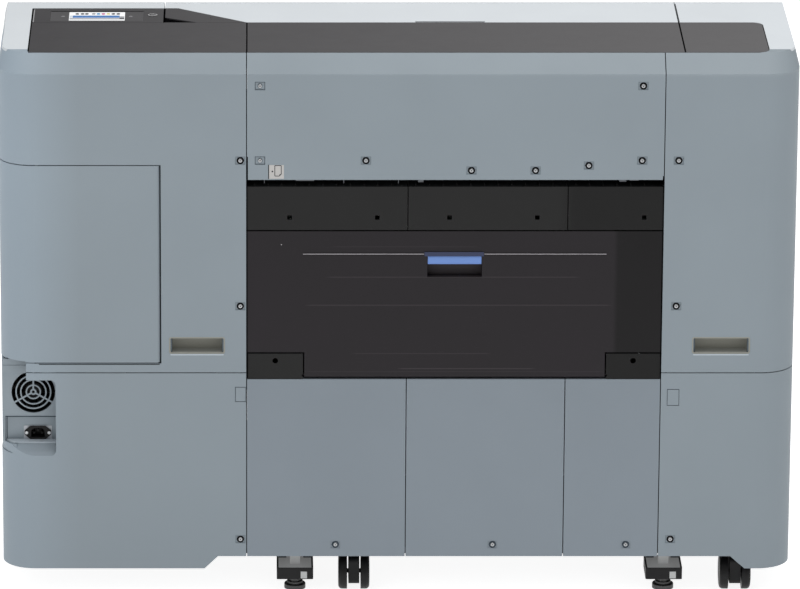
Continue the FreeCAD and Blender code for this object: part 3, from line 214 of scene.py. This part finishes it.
def smoked():
    """Dark smoked acrylic of the rear window, with faint scuffs and ghosts of the ribs behind it."""
    f = Finish("smoked_acrylic", specular_ior_level=0.18)
    x, y, z = f.axes()
    cloud = f.ramp(f.noise(5.0, 4.0, 0.6), 0.3, 0.75)
    tone = f.mix(cloud, WINDOW[0], WINDOW[1])
    beyond = f.ramp(x, 378.0, 386.0)
    tone = f.mix(beyond, tone, WINDOW[2])
    ghosts = ((592.0, -123.0, 316.0, 0.16), (540.5, -160.0, 372.0, 0.18), (451.5, -78.0, 160.0, 0.12),
              (423.5, 4.0, 239.0, 0.2), (647.7, -113.0, 137.0, 0.08), (418.0, -160.0, 360.0, 0.08))
    for level, start, end, weight in ghosts:
        rib = f.within(z, level - 0.5, level + 0.5, 0.6) * f.within(x, start, end, 6.0)
        tone = f.mix(rib * weight, tone, srgb(120, 112, 116))
    scuff = f.ramp(f.noise(30.0, 3.0, 0.7, stretch=(1.0, 1.0, 9.0)), 0.62, 0.78)
    tone = f.mix(scuff * 0.10, tone, srgb(84, 80, 84))
    f.set("Base Color", tone)
    f.set("Roughness", 0.34 + scuff * 0.2 + cloud * 0.08)
    f.bump(f.noise(900.0, 2.0, 0.5), 0.00002, 0.3)
    return f.material


def deck_gloss():
    """Dark tinted deck, lighter towards its right-hand end."""
    f = Finish("deck_gloss", specular_ior_level=0.25)
    x, y, z = f.axes()
    tone = f.mix(f.ramp(x, -650.0, 650.0), STRIP[0], STRIP[1])
    speck = f.ramp(f.noise(700.0, 2.0, 0.5), 0.6, 0.8)
    tone = f.mix(speck * 0.10, tone, srgb(140, 138, 139))
    f.set("Base Color", tone)
    f.set("Roughness", 0.46 + f.ramp(f.noise(9.0, 4.0, 0.6), 0.35, 0.7) * 0.10)
    f.bump(f.noise(2400.0, 2.0, 0.6), 0.00003, 0.4)
    return f.material


def metal(name, colour, rough=0.3, stretch=(1.0, 1.0, 1.0), strength=0.25):
    """Bare or plated metal with a drawn grain and small stains."""
    f = Finish(name, metallic=1.0)
    grain = f.noise(900.0, 3.0, 0.6, stretch=stretch)
    stain = f.ramp(f.noise(18.0, 4.0, 0.6), 0.45, 0.8)
    f.set("Base Color", f.mix(stain * 0.4, colour, shade(colour, 0.7)))
    f.set("Roughness", rough + f.ramp(grain, 0.3, 0.7) * 0.15 + stain * 0.1)
    f.bump(grain, 0.00002, strength)
    return f.material


def tread():
    """Hard black caster tread with fine scratches and floor dust on the rolling edge."""
    f = Finish("caster_tread", specular_ior_level=0.2)
    x, y, z = f.axes()
    dust = f.ramp(f.noise(60.0, 4.0, 0.65), 0.45, 0.75)
    low = 1 - f.ramp(z, 0.0, 20.0)
    f.set("Base Color", f.mix(dust * 0.08 + low * 0.04, srgb(17, 17, 18), srgb(60, 58, 56)))
    f.set("Roughness", 0.42 + dust * 0.2)
    f.bump(f.noise(1200.0, 2.0, 0.5), 0.00004, 0.5)
    return f.material


def paper():
    """Coated media wound on a core: faint edge lines of the winding."""
    f = Finish("roll_media", specular_ior_level=0.3)
    wave = f.noise(2.0, 3.0, 0.5, stretch=(30.0, 1.0, 1.0))
    f.set("Base Color", f.mix(f.ramp(wave, 0.3, 0.7), srgb(236, 236, 233), srgb(246, 246, 244)))
    f.set("Roughness", 0.5 + f.ramp(wave, 0.3, 0.7) * 0.15)
    f.bump(f.noise(1500.0, 2.0, 0.5), 0.00002, 0.3)
    return f.material


LIGHT = srgb(214, 219, 223)
PANEL = srgb(138, 148, 155)
WINDOW = (srgb(30, 27, 30), srgb(34, 30, 34), srgb(14, 12, 14))
STRIP = (srgb(59, 58, 60), srgb(95, 94, 95))
finishes = {
    "panel": moulded("panel_blue_grey", PANEL, 0.55, spec=0.2, tint=panel_tint_and_painted_light),
    "lower": moulded("lower_panel_paint", srgb(127, 136, 144), 0.55, grain=1500.0, spec=0.2),
    "light": moulded("deck_light_grey", LIGHT, 0.5, spec=0.25, tint=light_tint),
    "plate": moulded("black_guide_plate", srgb(38, 38, 38), 0.55, grain=1800.0, spec=0.12, tint=plate_tint),
    # the grip cups' glow is painted light in their shaded hollows
    "recess": moulded("grip_olive_grey_painted_glow", srgb(140, 140, 132), 0.6, tint=cup_tint, glow=0.09),
    "corner": moulded("corner_plate_grey", PANEL, 0.55, spec=0.2, tint=corner_tint_and_highlight),
    "black": moulded("black_plastic", srgb(20, 20, 21), 0.5, spec=0.2),
    "frame": moulded("frame_paint", srgb(60, 61, 62), 0.6, grain=900.0),
    "handle": moulded("handle_blue", srgb(105, 135, 196), 0.42, spec=0.2),
    "rubber": moulded("rubber", srgb(34, 34, 34), 0.75, grain=1200.0),
    "smoke": smoked(),
    "deck": deck_gloss(),
    "glass": moulded("display_glass", srgb(69, 68, 70), 0.36, grain=900.0, depth=0.00001, spec=0.3),
    "button": moulded("button_cap", srgb(70, 69, 70), 0.4, spec=0.3),
    "foot_block": moulded("foot_block_black", srgb(22, 22, 23), 0.5, spec=0.2),
    "steel": metal("plated_steel", (0.52, 0.52, 0.53), 0.28, (1.0, 12.0, 12.0)),
    "screw": metal("screw_steel", (0.40, 0.41, 0.42), 0.3),
    "foot": metal("foot_steel", (0.09, 0.09, 0.09), 0.4),
    "tread": tread(),
    "paper": paper(),
    # painted shade: the dark ring of each screw's counterbore
    "counterbore_shade": moulded("counterbore_painted_shade", srgb(8, 10, 12), 0.6, spec=0.1),
    "pale_counterbore_shade": moulded("pale_counterbore_shade", srgb(112, 124, 132), 0.55),
    "line": moulded("seam_shadow", srgb(58, 68, 76), 0.7, spec=0.1),
    "hollow": moulded("recess_shade_black", srgb(8, 8, 9), 0.8, spec=0.1),
    # the foot trays' glow is painted light, lifting them out of the body's shadow
    "tray": moulded("foot_tray_grey_painted_glow", srgb(150, 151, 151), 0.6, spec=0.2, glow=0.36),
    "tab": moulded("foot_tab_grey", srgb(178, 180, 180), 0.5),
    "label": moulded("label_beige_grey", srgb(184, 182, 180), 0.6),
    "label_line": moulded("label_line", srgb(34, 36, 38), 0.6),
    # a painted highlight: the bright line along the window's bead
    "bead": moulded("window_bead_highlight", srgb(176, 172, 176), 0.4),
    "sky_band": moulded("handle_band", srgb(108, 140, 200), 0.4, spec=0.2),
    # painted shade and dark reflection of the handle's top face
    "top_shade": moulded("handle_top_painted_shade", srgb(58, 64, 88), 0.5, spec=0.15),
    # painted shade: dark lining standing in for the shade in the handle's recess
    "recess_back_shade": moulded("handle_recess", srgb(66, 62, 64), 0.7, spec=0.1),
    # the slot guides' glow is painted light on parts sitting in the dark slot
    "slot_part": moulded("slot_guides_painted_glow", srgb(96, 98, 102), 0.6, spec=0.2, glow=0.12),
    "pocket": moulded("pocket_edge_shading", srgb(112, 122, 129), 0.6, spec=0.1),
    "lip_highlight": moulded("lip_painted_highlight", srgb(184, 194, 202), 0.5, spec=0.2),
    "bright": moulded("zinc_bright", srgb(214, 216, 218), 0.3, spec=0.5),
    "mark_and_highlight": moulded("touch_mark_and_edge_highlight", srgb(150, 150, 152), 0.5),
    "ring": moulded("button_ring", srgb(200, 200, 202), 0.3),
    "gap_dark": moulded("deck_gap_shadow", srgb(6, 6, 7), 0.9, spec=0.0),
}
screen_colours = {
    "white": (250, 251, 252), "dark": (62, 62, 66), "mid": (150, 152, 156), "cyan": (60, 150, 200),
    "magenta": (206, 92, 150), "yellow": (228, 214, 130), "blue": (72, 118, 178), "pale": (206, 214, 224),
}
for key, value in screen_colours.items():
    finishes["lcd_" + key] = moulded("display_" + key, srgb(*value), 0.3, depth=0.00001,
                                     spread=0.02, spec=0.1, glow=0.04)

wears = {
    "panel": ["left_upper_cover", "left_lower_cover", "right_upper_cover", "right_lower_cover",
              "rear_upper_panel", "access_door"],
    "lower": ["lower_panels"],
    "light": ["left_front_cover", "right_front_cover", "top_cover", "drawer_upper", "drawer_lower"],
    "plate": ["guide_plates", "corner_brackets", "print_bed"],
    "recess": ["grip_cups"],
    "corner": ["corner_plate"],
    "black": ["fan_housing", "fan_impeller", "power_inlet", "supply_unit", "supply_tanks", "supply_bays",
              "carriage", "cutter"],
    "foot_block": ["foot_blocks"],
    "frame": ["frame"],
    "handle": ["window_latch"],
    "rubber": ["drive_belt", "nip_rollers"],
    "smoke": ["rear_window", "supply_door_left", "supply_door_right"],
    "deck": ["strip_left", "strip_middle", "strip_right", "control_panel"],
    "glass": ["screen"],
    "button": ["power_button"],
    "steel": ["carriage_rail", "drive_pulley", "idler_pulley", "feed_roller", "feed_motor", "motor_pinion"],
    "screw": ["cover_screws"],
    "paper": ["roll_upper", "roll_lower"],
}
corners = ("rear_left", "rear_right", "front_left", "front_right")
wears["black"] += ["caster_" + corner for corner in corners]
wears["tread"] = ["wheels_" + corner for corner in corners]
wears["foot"] = ["foot_" + corner for corner in corners]
edge_round = {"panel": 0.4, "light": 1.2, "deck": 0.6, "lower": 0.4, "smoke": 0.5, "plate": 0.3, "handle": 0.8}


def soften(piece, width, angle=40.0):
    edges = piece.modifiers.new("soft_edges", "BEVEL")
    edges.width = width * MM
    edges.segments = 2
    edges.limit_method = "ANGLE"
    edges.angle_limit = math.radians(angle)
    edges.harden_normals = True


for finish, names in wears.items():
    for name in names:
        node = nodes[name]
        node.data.materials.clear()
        node.data.materials.append(finishes[finish])
        soften(node, edge_round.get(finish, 0.35))


# ---------------------------------------------------------------- pieces built here

class Form:
    """One piece's mesh, built part by part in millimetres, y measured from the rear face."""

    def __init__(self, name, *looks):
        self.name = name
        self.looks = looks
        self.mesh = bmesh.new()

    def _paint(self, verts, look, soft):
        faces = {face for vert in verts for face in vert.link_faces}
        for face in faces:
            face.material_index = look
        if soft:
            edges = {edge for vert in verts for edge in vert.link_edges}
            made = bmesh.ops.bevel(self.mesh, geom=list(edges), offset=soft, segments=2, profile=0.6,
                                   affect="EDGES", clamp_overlap=True)
            for face in made["faces"]:
                face.material_index = look

    def slab(self, x0, x1, y0, y1, z0, z1, look=0, soft=0.0):
        ring = [(x0, y0), (x1, y0), (x1, y1), (x0, y1)]
        return self.prism([(x, y, z0) for x, y in ring], (0, 0, z1 - z0), look, soft)

    def prism(self, outline, push, look=0, soft=0.0):
        """Closed outline of points, pushed along a vector."""
        low = [self.mesh.verts.new(point) for point in outline]
        high = [self.mesh.verts.new(Vector(point) + Vector(push)) for point in outline]
        count = len(outline)
        self.mesh.faces.new(list(reversed(low)))
        self.mesh.faces.new(high)
        for i in range(count):
            j = (i + 1) % count
            self.mesh.faces.new((low[i], low[j], high[j], high[i]))
        self._paint(low + high, look, soft)

    def turned(self, profile, centre, axis="y", look=0, steps=32, squash=1.0):
        """Profile of (radius, height) pairs turned round an axis through centre."""
        rings = []
        for radius, high in profile:
            ring = []
            for k in range(steps if radius > 0 else 1):
                a = 2 * math.pi * k / steps
                u, v = radius * math.cos(a), radius * math.sin(a) * squash
                spot = {"x": (high, u, v), "y": (u, high, v), "z": (u, v, high)}[axis]
                ring.append(self.mesh.verts.new([c + s for c, s in zip(centre, spot)]))
            rings.append(ring)
        for a, b in zip(rings, rings[1:] + ([rings[0]] if profile[0][0] > 0 else [])):
            for k in range(steps):
                n = (k + 1) % steps
                corner = [a[k % len(a)], a[n % len(a)], b[n % len(b)], b[k % len(b)]]
                unique = list(dict.fromkeys(corner))
                if len(unique) > 2:
                    face = self.mesh.faces.new(unique)
                    face.material_index = look
                    face.smooth = True

    def done(self, body="cabinet", soft=0.0):
        bmesh.ops.recalc_face_normals(self.mesh, faces=self.mesh.faces[:])
        bmesh.ops.translate(self.mesh, verts=self.mesh.verts[:], vec=(0, REAR, 0))
        bmesh.ops.scale(self.mesh, verts=self.mesh.verts[:], vec=(MM, MM, MM))
        data = bpy.data.meshes.new(self.name)
        self.mesh.to_mesh(data)
        self.mesh.free()
        piece = bpy.data.objects.new(self.name, data)
        bpy.context.collection.objects.link(piece)
        for look in self.looks:
            data.materials.append(finishes[look])
        if soft:
            soften(piece, soft)
        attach(piece, body)
        return piece


# cover screws: round each steel head a ring painted as the shade in its counterbore (grey round the pale
# screws), and a black cross painted as the shade in its cross recess
dark_screws = [(425, 940), (425, 805), (332, 796), (239, 787), (127, 787), (-57.5, 805),
               (-277, 805), (-277, 539), (-277, 106), (489, 805), (489, 539), (486, 106)]
pale_screws = [(-242.5, 805), (-242.5, 940)]
sunk_screws = [(-108.5, 96), (170.5, 96), (407, 96)]
ring_shapes = ((6.4, 0.1), (4.6, 0.4), (6.4, 0.1))      # outer radius and front face, by kind
RING_HOLE, RING_BACK = 3.7, 0.98
CROSS_LONG, CROSS_THIN = 1.5, 0.35


def annulus(x, z, radius, y, look):
    rings.turned([(RING_HOLE, RING_BACK), (radius - 0.3, RING_BACK), (radius, RING_BACK - 0.1),
                  (radius, y + 0.2), (radius - 0.2, y), (RING_HOLE + 0.1, y)],
                 (x, 0, z), look=look, steps=36)


rings = Form("screw_rings", "counterbore_shade", "pale_counterbore_shade", "line")
# black crosses painted as the shade in the heads' cross recesses
crosses = Form("screw_recesses", "hollow")
for look, places in enumerate((dark_screws, pale_screws, sunk_screws)):
    for x, z in places:
        annulus(x, z, *ring_shapes[look], look)
        for wide, tall in ((CROSS_LONG, CROSS_THIN), (CROSS_THIN, CROSS_LONG)):
            crosses.slab(x - wide, x + wide, -1.28, -1.1, z - tall, z + tall)
rings.done()
crosses.done()

# painted shadow lines round the moulded tags and screw pockets, painted highlights and shadow lines at the
# grips' edges, the dark lines of the corner, and the dark gap and painted shadow under the door
lines = Form("painted_light_and_shade_lines", "line", "pocket", "lip_highlight", "gap_dark")
POCKET_X, POCKET_Z = 8.9, 7.4              # half sizes of a pocket's outline
GRIP_LOW, GRIP_HIGH = 453.0, 480.0


def outline(x0, x1, z0, z1, y, wide, look, deep):
    for a, b, c, d in ((x0, x1, z0, z0 + wide), (x0, x1, z1 - wide, z1),
                       (x0, x0 + wide, z0 + wide, z1 - wide), (x1 - wide, x1, z0 + wide, z1 - wide)):
        lines.slab(a, b, y, y + deep, c, d, look)


# painted shadow lines round the two moulded tags
outline(-286.1, -267.6, 362.3, 389.7, 0.55, 0.8, 0, 0.25)
outline(475.9, 497.1, 355.3, 385.7, 0.55, 0.8, 0, 0.25)
# painted shade round each screw pocket: dark round the pale screws, faint round the others
for places, look in ((dark_screws, 1), (pale_screws, 0)):
    for x, z in places:
        outline(x - POCKET_X, x + POCKET_X, z - POCKET_Z, z + POCKET_Z, -0.06, 0.9, look, 0.1)
for x0, x1 in ((-402.5, -304.0), (518.0, 620.5)):
    # painted highlight under each grip's lower edge
    lines.slab(x0 + 2.5, x1 - 2.5, -0.12, 0.02, 448.6, 450.4, 2)
    # painted light on the grip's side walls
    for start, end in ((x0 + 0.5, x0 + 4.4), (x1 - 4.4, x1 - 0.5)):
        lines.slab(start, end, 3.4, 4.0, GRIP_LOW, GRIP_HIGH, 1)
    # painted shadow lines beside them
    for start in (x0 + 4.5, x1 - 5.5):
        lines.slab(start, start + 1.0, 3.4, 4.0, GRIP_LOW, GRIP_HIGH, 0)
lines.slab(-693.0, -603.5, 29.5, 29.9, 324.8, 326.4, 0)
lines.slab(-691.0, -689.8, 35.5, 35.9, 282.6, 325.0, 0)
# dark fill in the gap under the door, and a painted shadow line on the face below it
lines.slab(-640.0, -418.5, 0.7, 2.8, 432.55, 433.85, 3)
lines.slab(-632.0, -419.0, -0.08, 0.02, 431.0, 432.4, 3)
lines.done()

# shelf under the mains inlet, with a painted highlight along its top, and a liner inside the cabinet's rounded
# corner below it
ledge = Form("inlet_ledge", "corner", "lip_highlight", "panel")
CORNER_X, CORNER_Y = -640.5, 60.0          # centre of the cabinet's corner radius
curve = [(-603.5, 17.0), (-603.5, 35.3), (-691.9, 35.3), (-689.0, 30.0), (-684.7, 24.0), (-677.9, 17.0)]
ledge.prism([(x, y, 279.4) for x, y in curve], (0, 0, 2.7))
# painted highlight along the shelf's top
ledge.prism([(x, y, 282.1) for x, y in curve], (0, 0, 0.3), 1)
arc = [(58.6, math.radians(a)) for a in range(2, 57, 6)]
arc += [(55.6, math.radians(a)) for a in range(56, 1, -6)]
ledge.prism([(CORNER_X - r * math.cos(a), CORNER_Y - r * math.sin(a), 258.0) for r, a in arc],
            (0, 0, 21.3), 2)
ledge.done()

# the dark bottoms of the seams between covers and of the wells in the deck, painted shadow lines laid on the
# deck beside some of them, and a painted highlight and a painted shadow triangle at the control panel
seams = Form("seam_bottoms", "gap_dark", "slot_part", "mark_and_highlight")
IN_GAP = (DECK - 4.0, DECK - 0.2)          # heights of a fill inside a gap of the deck
IN_BAY = (DECK - 3.0, DECK - 0.2)
SHADOW_ON_DECK = (DECK, DECK + 0.12)              # heights of a painted shadow line laid on the deck


def seam(x0, x1):
    """Runs up a seam in the rear face and over the slope."""
    path = ((0.7, 80.0), (0.7, 960.5), (36.8, 989.9), (36.8, 986.0), (3.0, 957.0), (3.0, 80.0))
    seams.prism([(x0, y, z) for y, z in path], (x1 - x0, 0, 0))


seam(LEFT_SEAM - 0.75, LEFT_SEAM + 0.7)
seam(RIGHT_SEAM - 0.6, RIGHT_SEAM + 0.6)
fills = (
    # beside the slot, the guide plates and the window
    (LEFT_SEAM - 0.75, LEFT_SEAM + 1.4, 0.1, 0.7, 406.0, 770.0),
    (RIGHT_SEAM - 1.4, RIGHT_SEAM + 0.7, 0.1, 0.7, 406.0, 770.0),
    (LEFT_SEAM - 0.75, LEFT_SEAM + 2.1, 0.1, 0.7, 406.0, 453.0),
    (LEFT_SEAM - 0.75, LEFT_SEAM + 2.2, 0.7, 2.5, 770.2, 811.0),
    (RIGHT_SEAM - 2.1, RIGHT_SEAM + 0.7, 0.7, 2.5, 770.2, 776.2),
    (LEFT_SEAM - 0.6, LEFT_SEAM + 5.0, 14.5, 15.5, 442.0, 677.0),
    (RIGHT_SEAM - 5.0, RIGHT_SEAM + 0.6, 14.5, 15.5, 442.0, 677.0),
    # above the two corner brackets
    (RIGHT_SEAM - 97.2, RIGHT_SEAM - 1.0, 0.4, 3.0, 452.3, 453.3),
    (LEFT_SEAM + 1.0, LEFT_SEAM + 98.0, 0.4, 3.0, 452.3, 453.3),
    # deck seams, ends and rear edge of the dark strips
    (DECK_SEAM - 0.6, DECK_SEAM + 0.6, 38.0, 345.0, *IN_GAP),
    # painted shadow lines on the deck beside the seams
    (DECK_SEAM - 0.5, DECK_SEAM + 1.9, 38.0, 238.0, *SHADOW_ON_DECK),
    (DECK_SEAM + 0.9, DECK_SEAM + 2.2, 241.0, 368.0, *SHADOW_ON_DECK),
    (STRIP_END + 0.2, STRIP_END + 1.4, 58.0, 222.0, DECK - 4.0, DECK - 0.1),
    (-628.0, 628.0, 35.7, 36.8, 985.5, 989.8),
    (LEFT_SEAM - 0.6, LEFT_SEAM + 0.6, 38.0, 238.0, *IN_GAP),
    (LEFT_SEAM - 0.6, LEFT_SEAM + 1.6, 38.0, 238.0, *SHADOW_ON_DECK),
    (-STRIP_END - 1.4, -STRIP_END - 0.2, 38.0, 238.0, *IN_GAP),
    (-STRIP_END - 2.4, -STRIP_END - 0.2, 42.0, 336.0, *SHADOW_ON_DECK),
    # round the control panel
    (-STRIP_END - 1.4, -STRIP_END + 0.5, 240.0, 337.0, *IN_BAY),
    # painted highlight along the control panel's left edge
    (-STRIP_END + 0.6, -STRIP_END + 2.6, 244.0, 330.0, DECK - 3.0, DECK - 0.4, 2),
    (BAY_END - 1.7, BAY_END - 0.2, 240.0, 337.0, *IN_BAY),
    (BAY_END - 0.2, BAY_END + 1.4, 240.0, 337.0, *SHADOW_ON_DECK),
    (BAY_END - 0.2, BAY_END + 4.2, 240.0, 271.8, *SHADOW_ON_DECK),
)
for fill in fills:
    seams.slab(*fill)
# painted shadow triangle on the deck beside the control panel's bay
seams.prism([(BAY_END + 4.2, 240.2, 988.9), (BAY_END + 4.2, 271.5, 988.9), (-355.0, 240.2, 988.9)],
            (0, 0, 0.3))
# sheet guides seen in the slot, lifted by a painted glow
for x0, x1, z0 in ((-235.4, -234.2, 761.5), (-180.0, -148.0, 766.0), (-96.6, -95.4, 761.5),
                   (34.0, 43.5, 763.5), (-1.0, 0.2, 761.5), (386.0, 398.0, 764.5),
                   (404.0, 420.0, 766.5), (421.0, 461.0, 767.6)):
    seams.slab(x0, x1, 8.0, 9.0, z0, 769.4, 1)
seams.done()

# closing leaf over the lid hinge's relief, carried by the lid on a tongue
leaf = Form("hinge_leaf", "deck")
leaf_plan = ((-329.6, 261.5), (-329.6, 276.5), (-313.2, 276.5), (-294.6, 261.5))
leaf.prism([(x, y, DECK - 0.5) for x, y in leaf_plan], (0, 0, 0.5))
leaf.slab(-320.0, -314.0, 266.0, 272.0, 987.2, 990.6)
leaf.slab(-320.0, -290.0, 266.0, 272.0, 986.8, 987.4)
leaf.done("lid")

# domed screws of the mains inlet
domes = Form("inlet_screw_domes", "bright")
for x in (-656.0, -616.0):
    domes.turned([(0.0, 30.2), (1.6, 30.4), (2.8, 30.9), (3.1, 31.5), (3.1, 32.3)], (x, 0, 294.5), steps=24)
domes.done()

# media alignment label beside the slot
label = Form("media_label", "label", "label_line")
label.slab(-226.6, -200.8, -0.16, 0.1, 772.0, 797.0, 0, 0.05)
label.slab(-228.2, -226.6, -0.2, 0.1, 771.6, 797.4, 1)
label.turned([(0.0, -0.24), (1.5, -0.24), (1.5, -0.1)], (-220.8, 0, 785.4), look=1, steps=16)
sheet = [(-216.6, 796.0), (-205.4, 796.0), (-205.4, 780.5), (-209.0, 777.0), (-216.6, 777.0)]
for a, b in zip(sheet, sheet[1:] + sheet[:1]):
    run = Vector((b[0] - a[0], b[1] - a[1]))
    side = Vector((-run.y, run.x)).normalized() * 0.65
    label.prism([(a[0] + side.x, -0.24, a[1] + side.y), (a[0] - side.x, -0.24, a[1] - side.y),
                 (b[0] - side.x, -0.24, b[1] - side.y), (b[0] + side.x, -0.24, b[1] + side.y)], (0, 0.14, 0), 1)
label.prism([(-205.6, -0.24, 780.6), (-209.0, -0.24, 777.2), (-208.4, -0.24, 780.2)], (0, 0.1, 0), 1)
label.done()

# levelling foot blocks: grey tray and square block on the foot's axis, both given a painted glow against the
# body's shadow, and a light tab
trays = Form("foot_trays", "tray", "tab")
TRAY_Z, TRAY_TOP = 44.6, 46.4
for x, y, s in ((-180, 46, 1), (477, 46, 1), (-525, 621, -1), (477, 621, -1)):
    y0, y1 = sorted((y - s * 30, y + s * 42))
    trays.slab(x - 29.2, x + 29.2, y0 + 3.2, y1 - 3.2, TRAY_Z, TRAY_TOP, 0, 0.3)
    face = y0 if s > 0 else y1
    near, far = sorted((face - s * 0.5, face + s * 0.2))
    trays.slab(x + s * 10.2, x + s * 21.4, near, far, 26.6, 39.4, 1, 0.15)
    trays.slab(x - 9.0, x + 9.0, y - 9.0, y + 9.0, TRAY_TOP, 73.5, 0, 0.3)
trays.done()

# rear window: a painted highlight along the bead, the handle band with painted shade above it, and a dark
# lining standing in for the shade at the back of the handle's recess
bead = Form("window_bead_line", "bead")
for x0, x1 in ((-167, 45.0), (151.0, 365)):
    bead.slab(x0, x1, -0.5, -0.05, 634.2, 635.2, 0, 0.1)
bead.turned([(0.0, 0.7), (1.0, 0.7), (1.0, 1.0)], (-205.0, 0, 651.5), steps=12)
bead.done("window")
band = Form("handle_band", "sky_band", "top_shade")
band.slab(52.8, 145.2, 0.6, 1.4, 618.5, 629.0, 0, 0.3)
# painted shade above the handle
band.slab(46.0, 150.0, -0.7, -0.1, 630.6, 638.4, 1, 0.2)
band.done("latch")
# dark lining standing in for the shade at the back of the handle's recess
lining = Form("handle_recess_lining", "recess_back_shade")
lining.slab(51.2, 146.8, 20.5, 21.8, 592.4, 641.6)
lining.done("window")

# display: white page with the status dots, blue title band, footer
page = Form("display_page", *["lcd_" + key for key in screen_colours])
looks = list(screen_colours)
GLASS_TOP = DECK - 0.5
PAGE_X = -581.5                # left edge of the page
tiles = ((PAGE_X, -482.5, 254.8, 312.5, "white", 0.10), (-575.0, -491.9, 273.3, 289.4, "blue", 0.16),
         (-491.9, -483.6, 266.0, 283.6, "mid", 0.16), (-580.5, -575.0, 273.3, 289.4, "pale", 0.16),
         (-580.5, -483.5, 262.5, 270.5, "mid", 0.16))
for x0, x1, y0, y1, look, lift in tiles:
    page.slab(x0, x1, y0, y1, GLASS_TOP, GLASS_TOP + lift, looks.index(look))
# each dot's distance from the page's left edge
dots = ((14.018, "dark"), (23.363, "dark"), (30.956, "dark"), (43.222, "mid"), (51.691, "cyan"),
        (60.452, "magenta"), (69.213, "yellow"), (78.267, "dark"), (87.028, "dark"))
for along, look in dots:
    page.turned([(0.0, GLASS_TOP + 0.22), (3.5, GLASS_TOP + 0.22), (3.5, GLASS_TOP + 0.05)],
                (PAGE_X + along, 300.5, 0), axis="z", look=looks.index(look), steps=20, squash=1.5)
page.done("panel")

# touch keys beside the page, and the dark line along the glass
marks = Form("touch_marks", "mark_and_highlight", "ring", "hollow")
for x in (-592.3, -472.0):
    for wide, y in ((3.4, 281.0), (2.2, 285.0)):
        marks.slab(x - wide, x + wide, y, y + 2.0, GLASS_TOP, GLASS_TOP + 0.08)
marks.slab(-614.0, -450.0, 317.0, 318.6, GLASS_TOP, GLASS_TOP + 0.3, 2)
marks.done("panel")

# power button: bright ring and its plain symbol
button = Form("button_ring", "ring", "mark_and_highlight")
CAP = DECK + 0.8
BUTTON_X = -433
button.turned([(7.0, CAP), (8.2, CAP), (8.2, CAP + 0.35), (7.0, CAP + 0.35)], (BUTTON_X, 289.5, 0),
              axis="z", steps=40)
button.slab(BUTTON_X - 0.5, BUTTON_X + 0.5, 289.0, 293.5, CAP, CAP + 0.15, 1)
button.turned([(2.6, CAP), (3.3, CAP), (3.3, CAP + 0.15), (2.6, CAP + 0.15)], (BUTTON_X, 288.5, 0),
              axis="z", look=1, steps=28)
button.done("button")


# ---------------------------------------------------------------- camera, light, floor

def aim(thing, target):
    thing.rotation_euler = (Vector(target) - thing.location).to_track_quat("-Z", "Y").to_euler()


CAMERA_PITCH = math.radians(17.06)
SENSOR_WIDTH, FOCAL_LENGTH = 36.0, 310.05          # in millimetres
VIEW_SHIFT = 0.1825                                # share of the view's width
camera_data = bpy.data.cameras.new("camera")
camera = bpy.data.objects.new("camera", camera_data)
bpy.context.collection.objects.link(camera)
camera_data.sensor_width = SENSOR_WIDTH
camera_data.lens = FOCAL_LENGTH
camera_data.shift_x = VIEW_SHIFT
camera_data.clip_end = 60.0
camera.location = (-0.253, REAR * MM - 11.5702, 4.1111)
camera.rotation_euler = (math.radians(90) - CAMERA_PITCH, 0, 0)
scene = bpy.context.scene
scene.camera = camera
scene.view_settings.view_transform = "Standard"


def lamp(name, place, target, size, watts):
    data = bpy.data.lights.new(name, "AREA")
    data.shape = "RECTANGLE"
    data.size = size
    data.size_y = size
    data.energy = watts
    made = bpy.data.objects.new(name, data)
    bpy.context.collection.objects.link(made)
    made.location = place
    aim(made, target)


lamp("key", (-2.6, -4.6, 3.4), (0, 0, 0.5), 3.0, 20)
lamp("fill", (3.4, -4.8, 2.4), (0, 0, 0.5), 3.0, 11)
lamp("top", (0, -0.4, 5.0), (0, 0, 0), 4.5, 185)

world = bpy.data.worlds.new("studio")
scene.world = world
world.use_nodes = True
sky = world.node_tree.nodes["Background"]
sky.inputs[0].default_value = (1.0, 1.0, 1.0, 1.0)
sky.inputs[1].default_value = 0.30

floor_mesh = bpy.data.meshes.new("floor")
corners = ((-14, -14), (14, -14), (14, 14), (-14, 14))
floor_mesh.from_pydata([(x, y, -0.0005) for x, y in corners], [], [(0, 1, 2, 3)])
floor = bpy.data.objects.new("floor", floor_mesh)
bpy.context.collection.objects.link(floor)
pale = Finish("pale_floor", specular_ior_level=0.1, emission_color=(1.0, 1.0, 1.0, 1.0),
              emission_strength=0.88)
pale.set("Base Color", pale.mix(pale.ramp(pale.noise(0.8), 0.3, 0.7), (0.72, 0.72, 0.72), (0.75, 0.75, 0.75)))
pale.set("Roughness", 0.8 + pale.ramp(pale.noise(5.0), 0.3, 0.7) * 0.1)
floor.data.materials.append(pale.material)
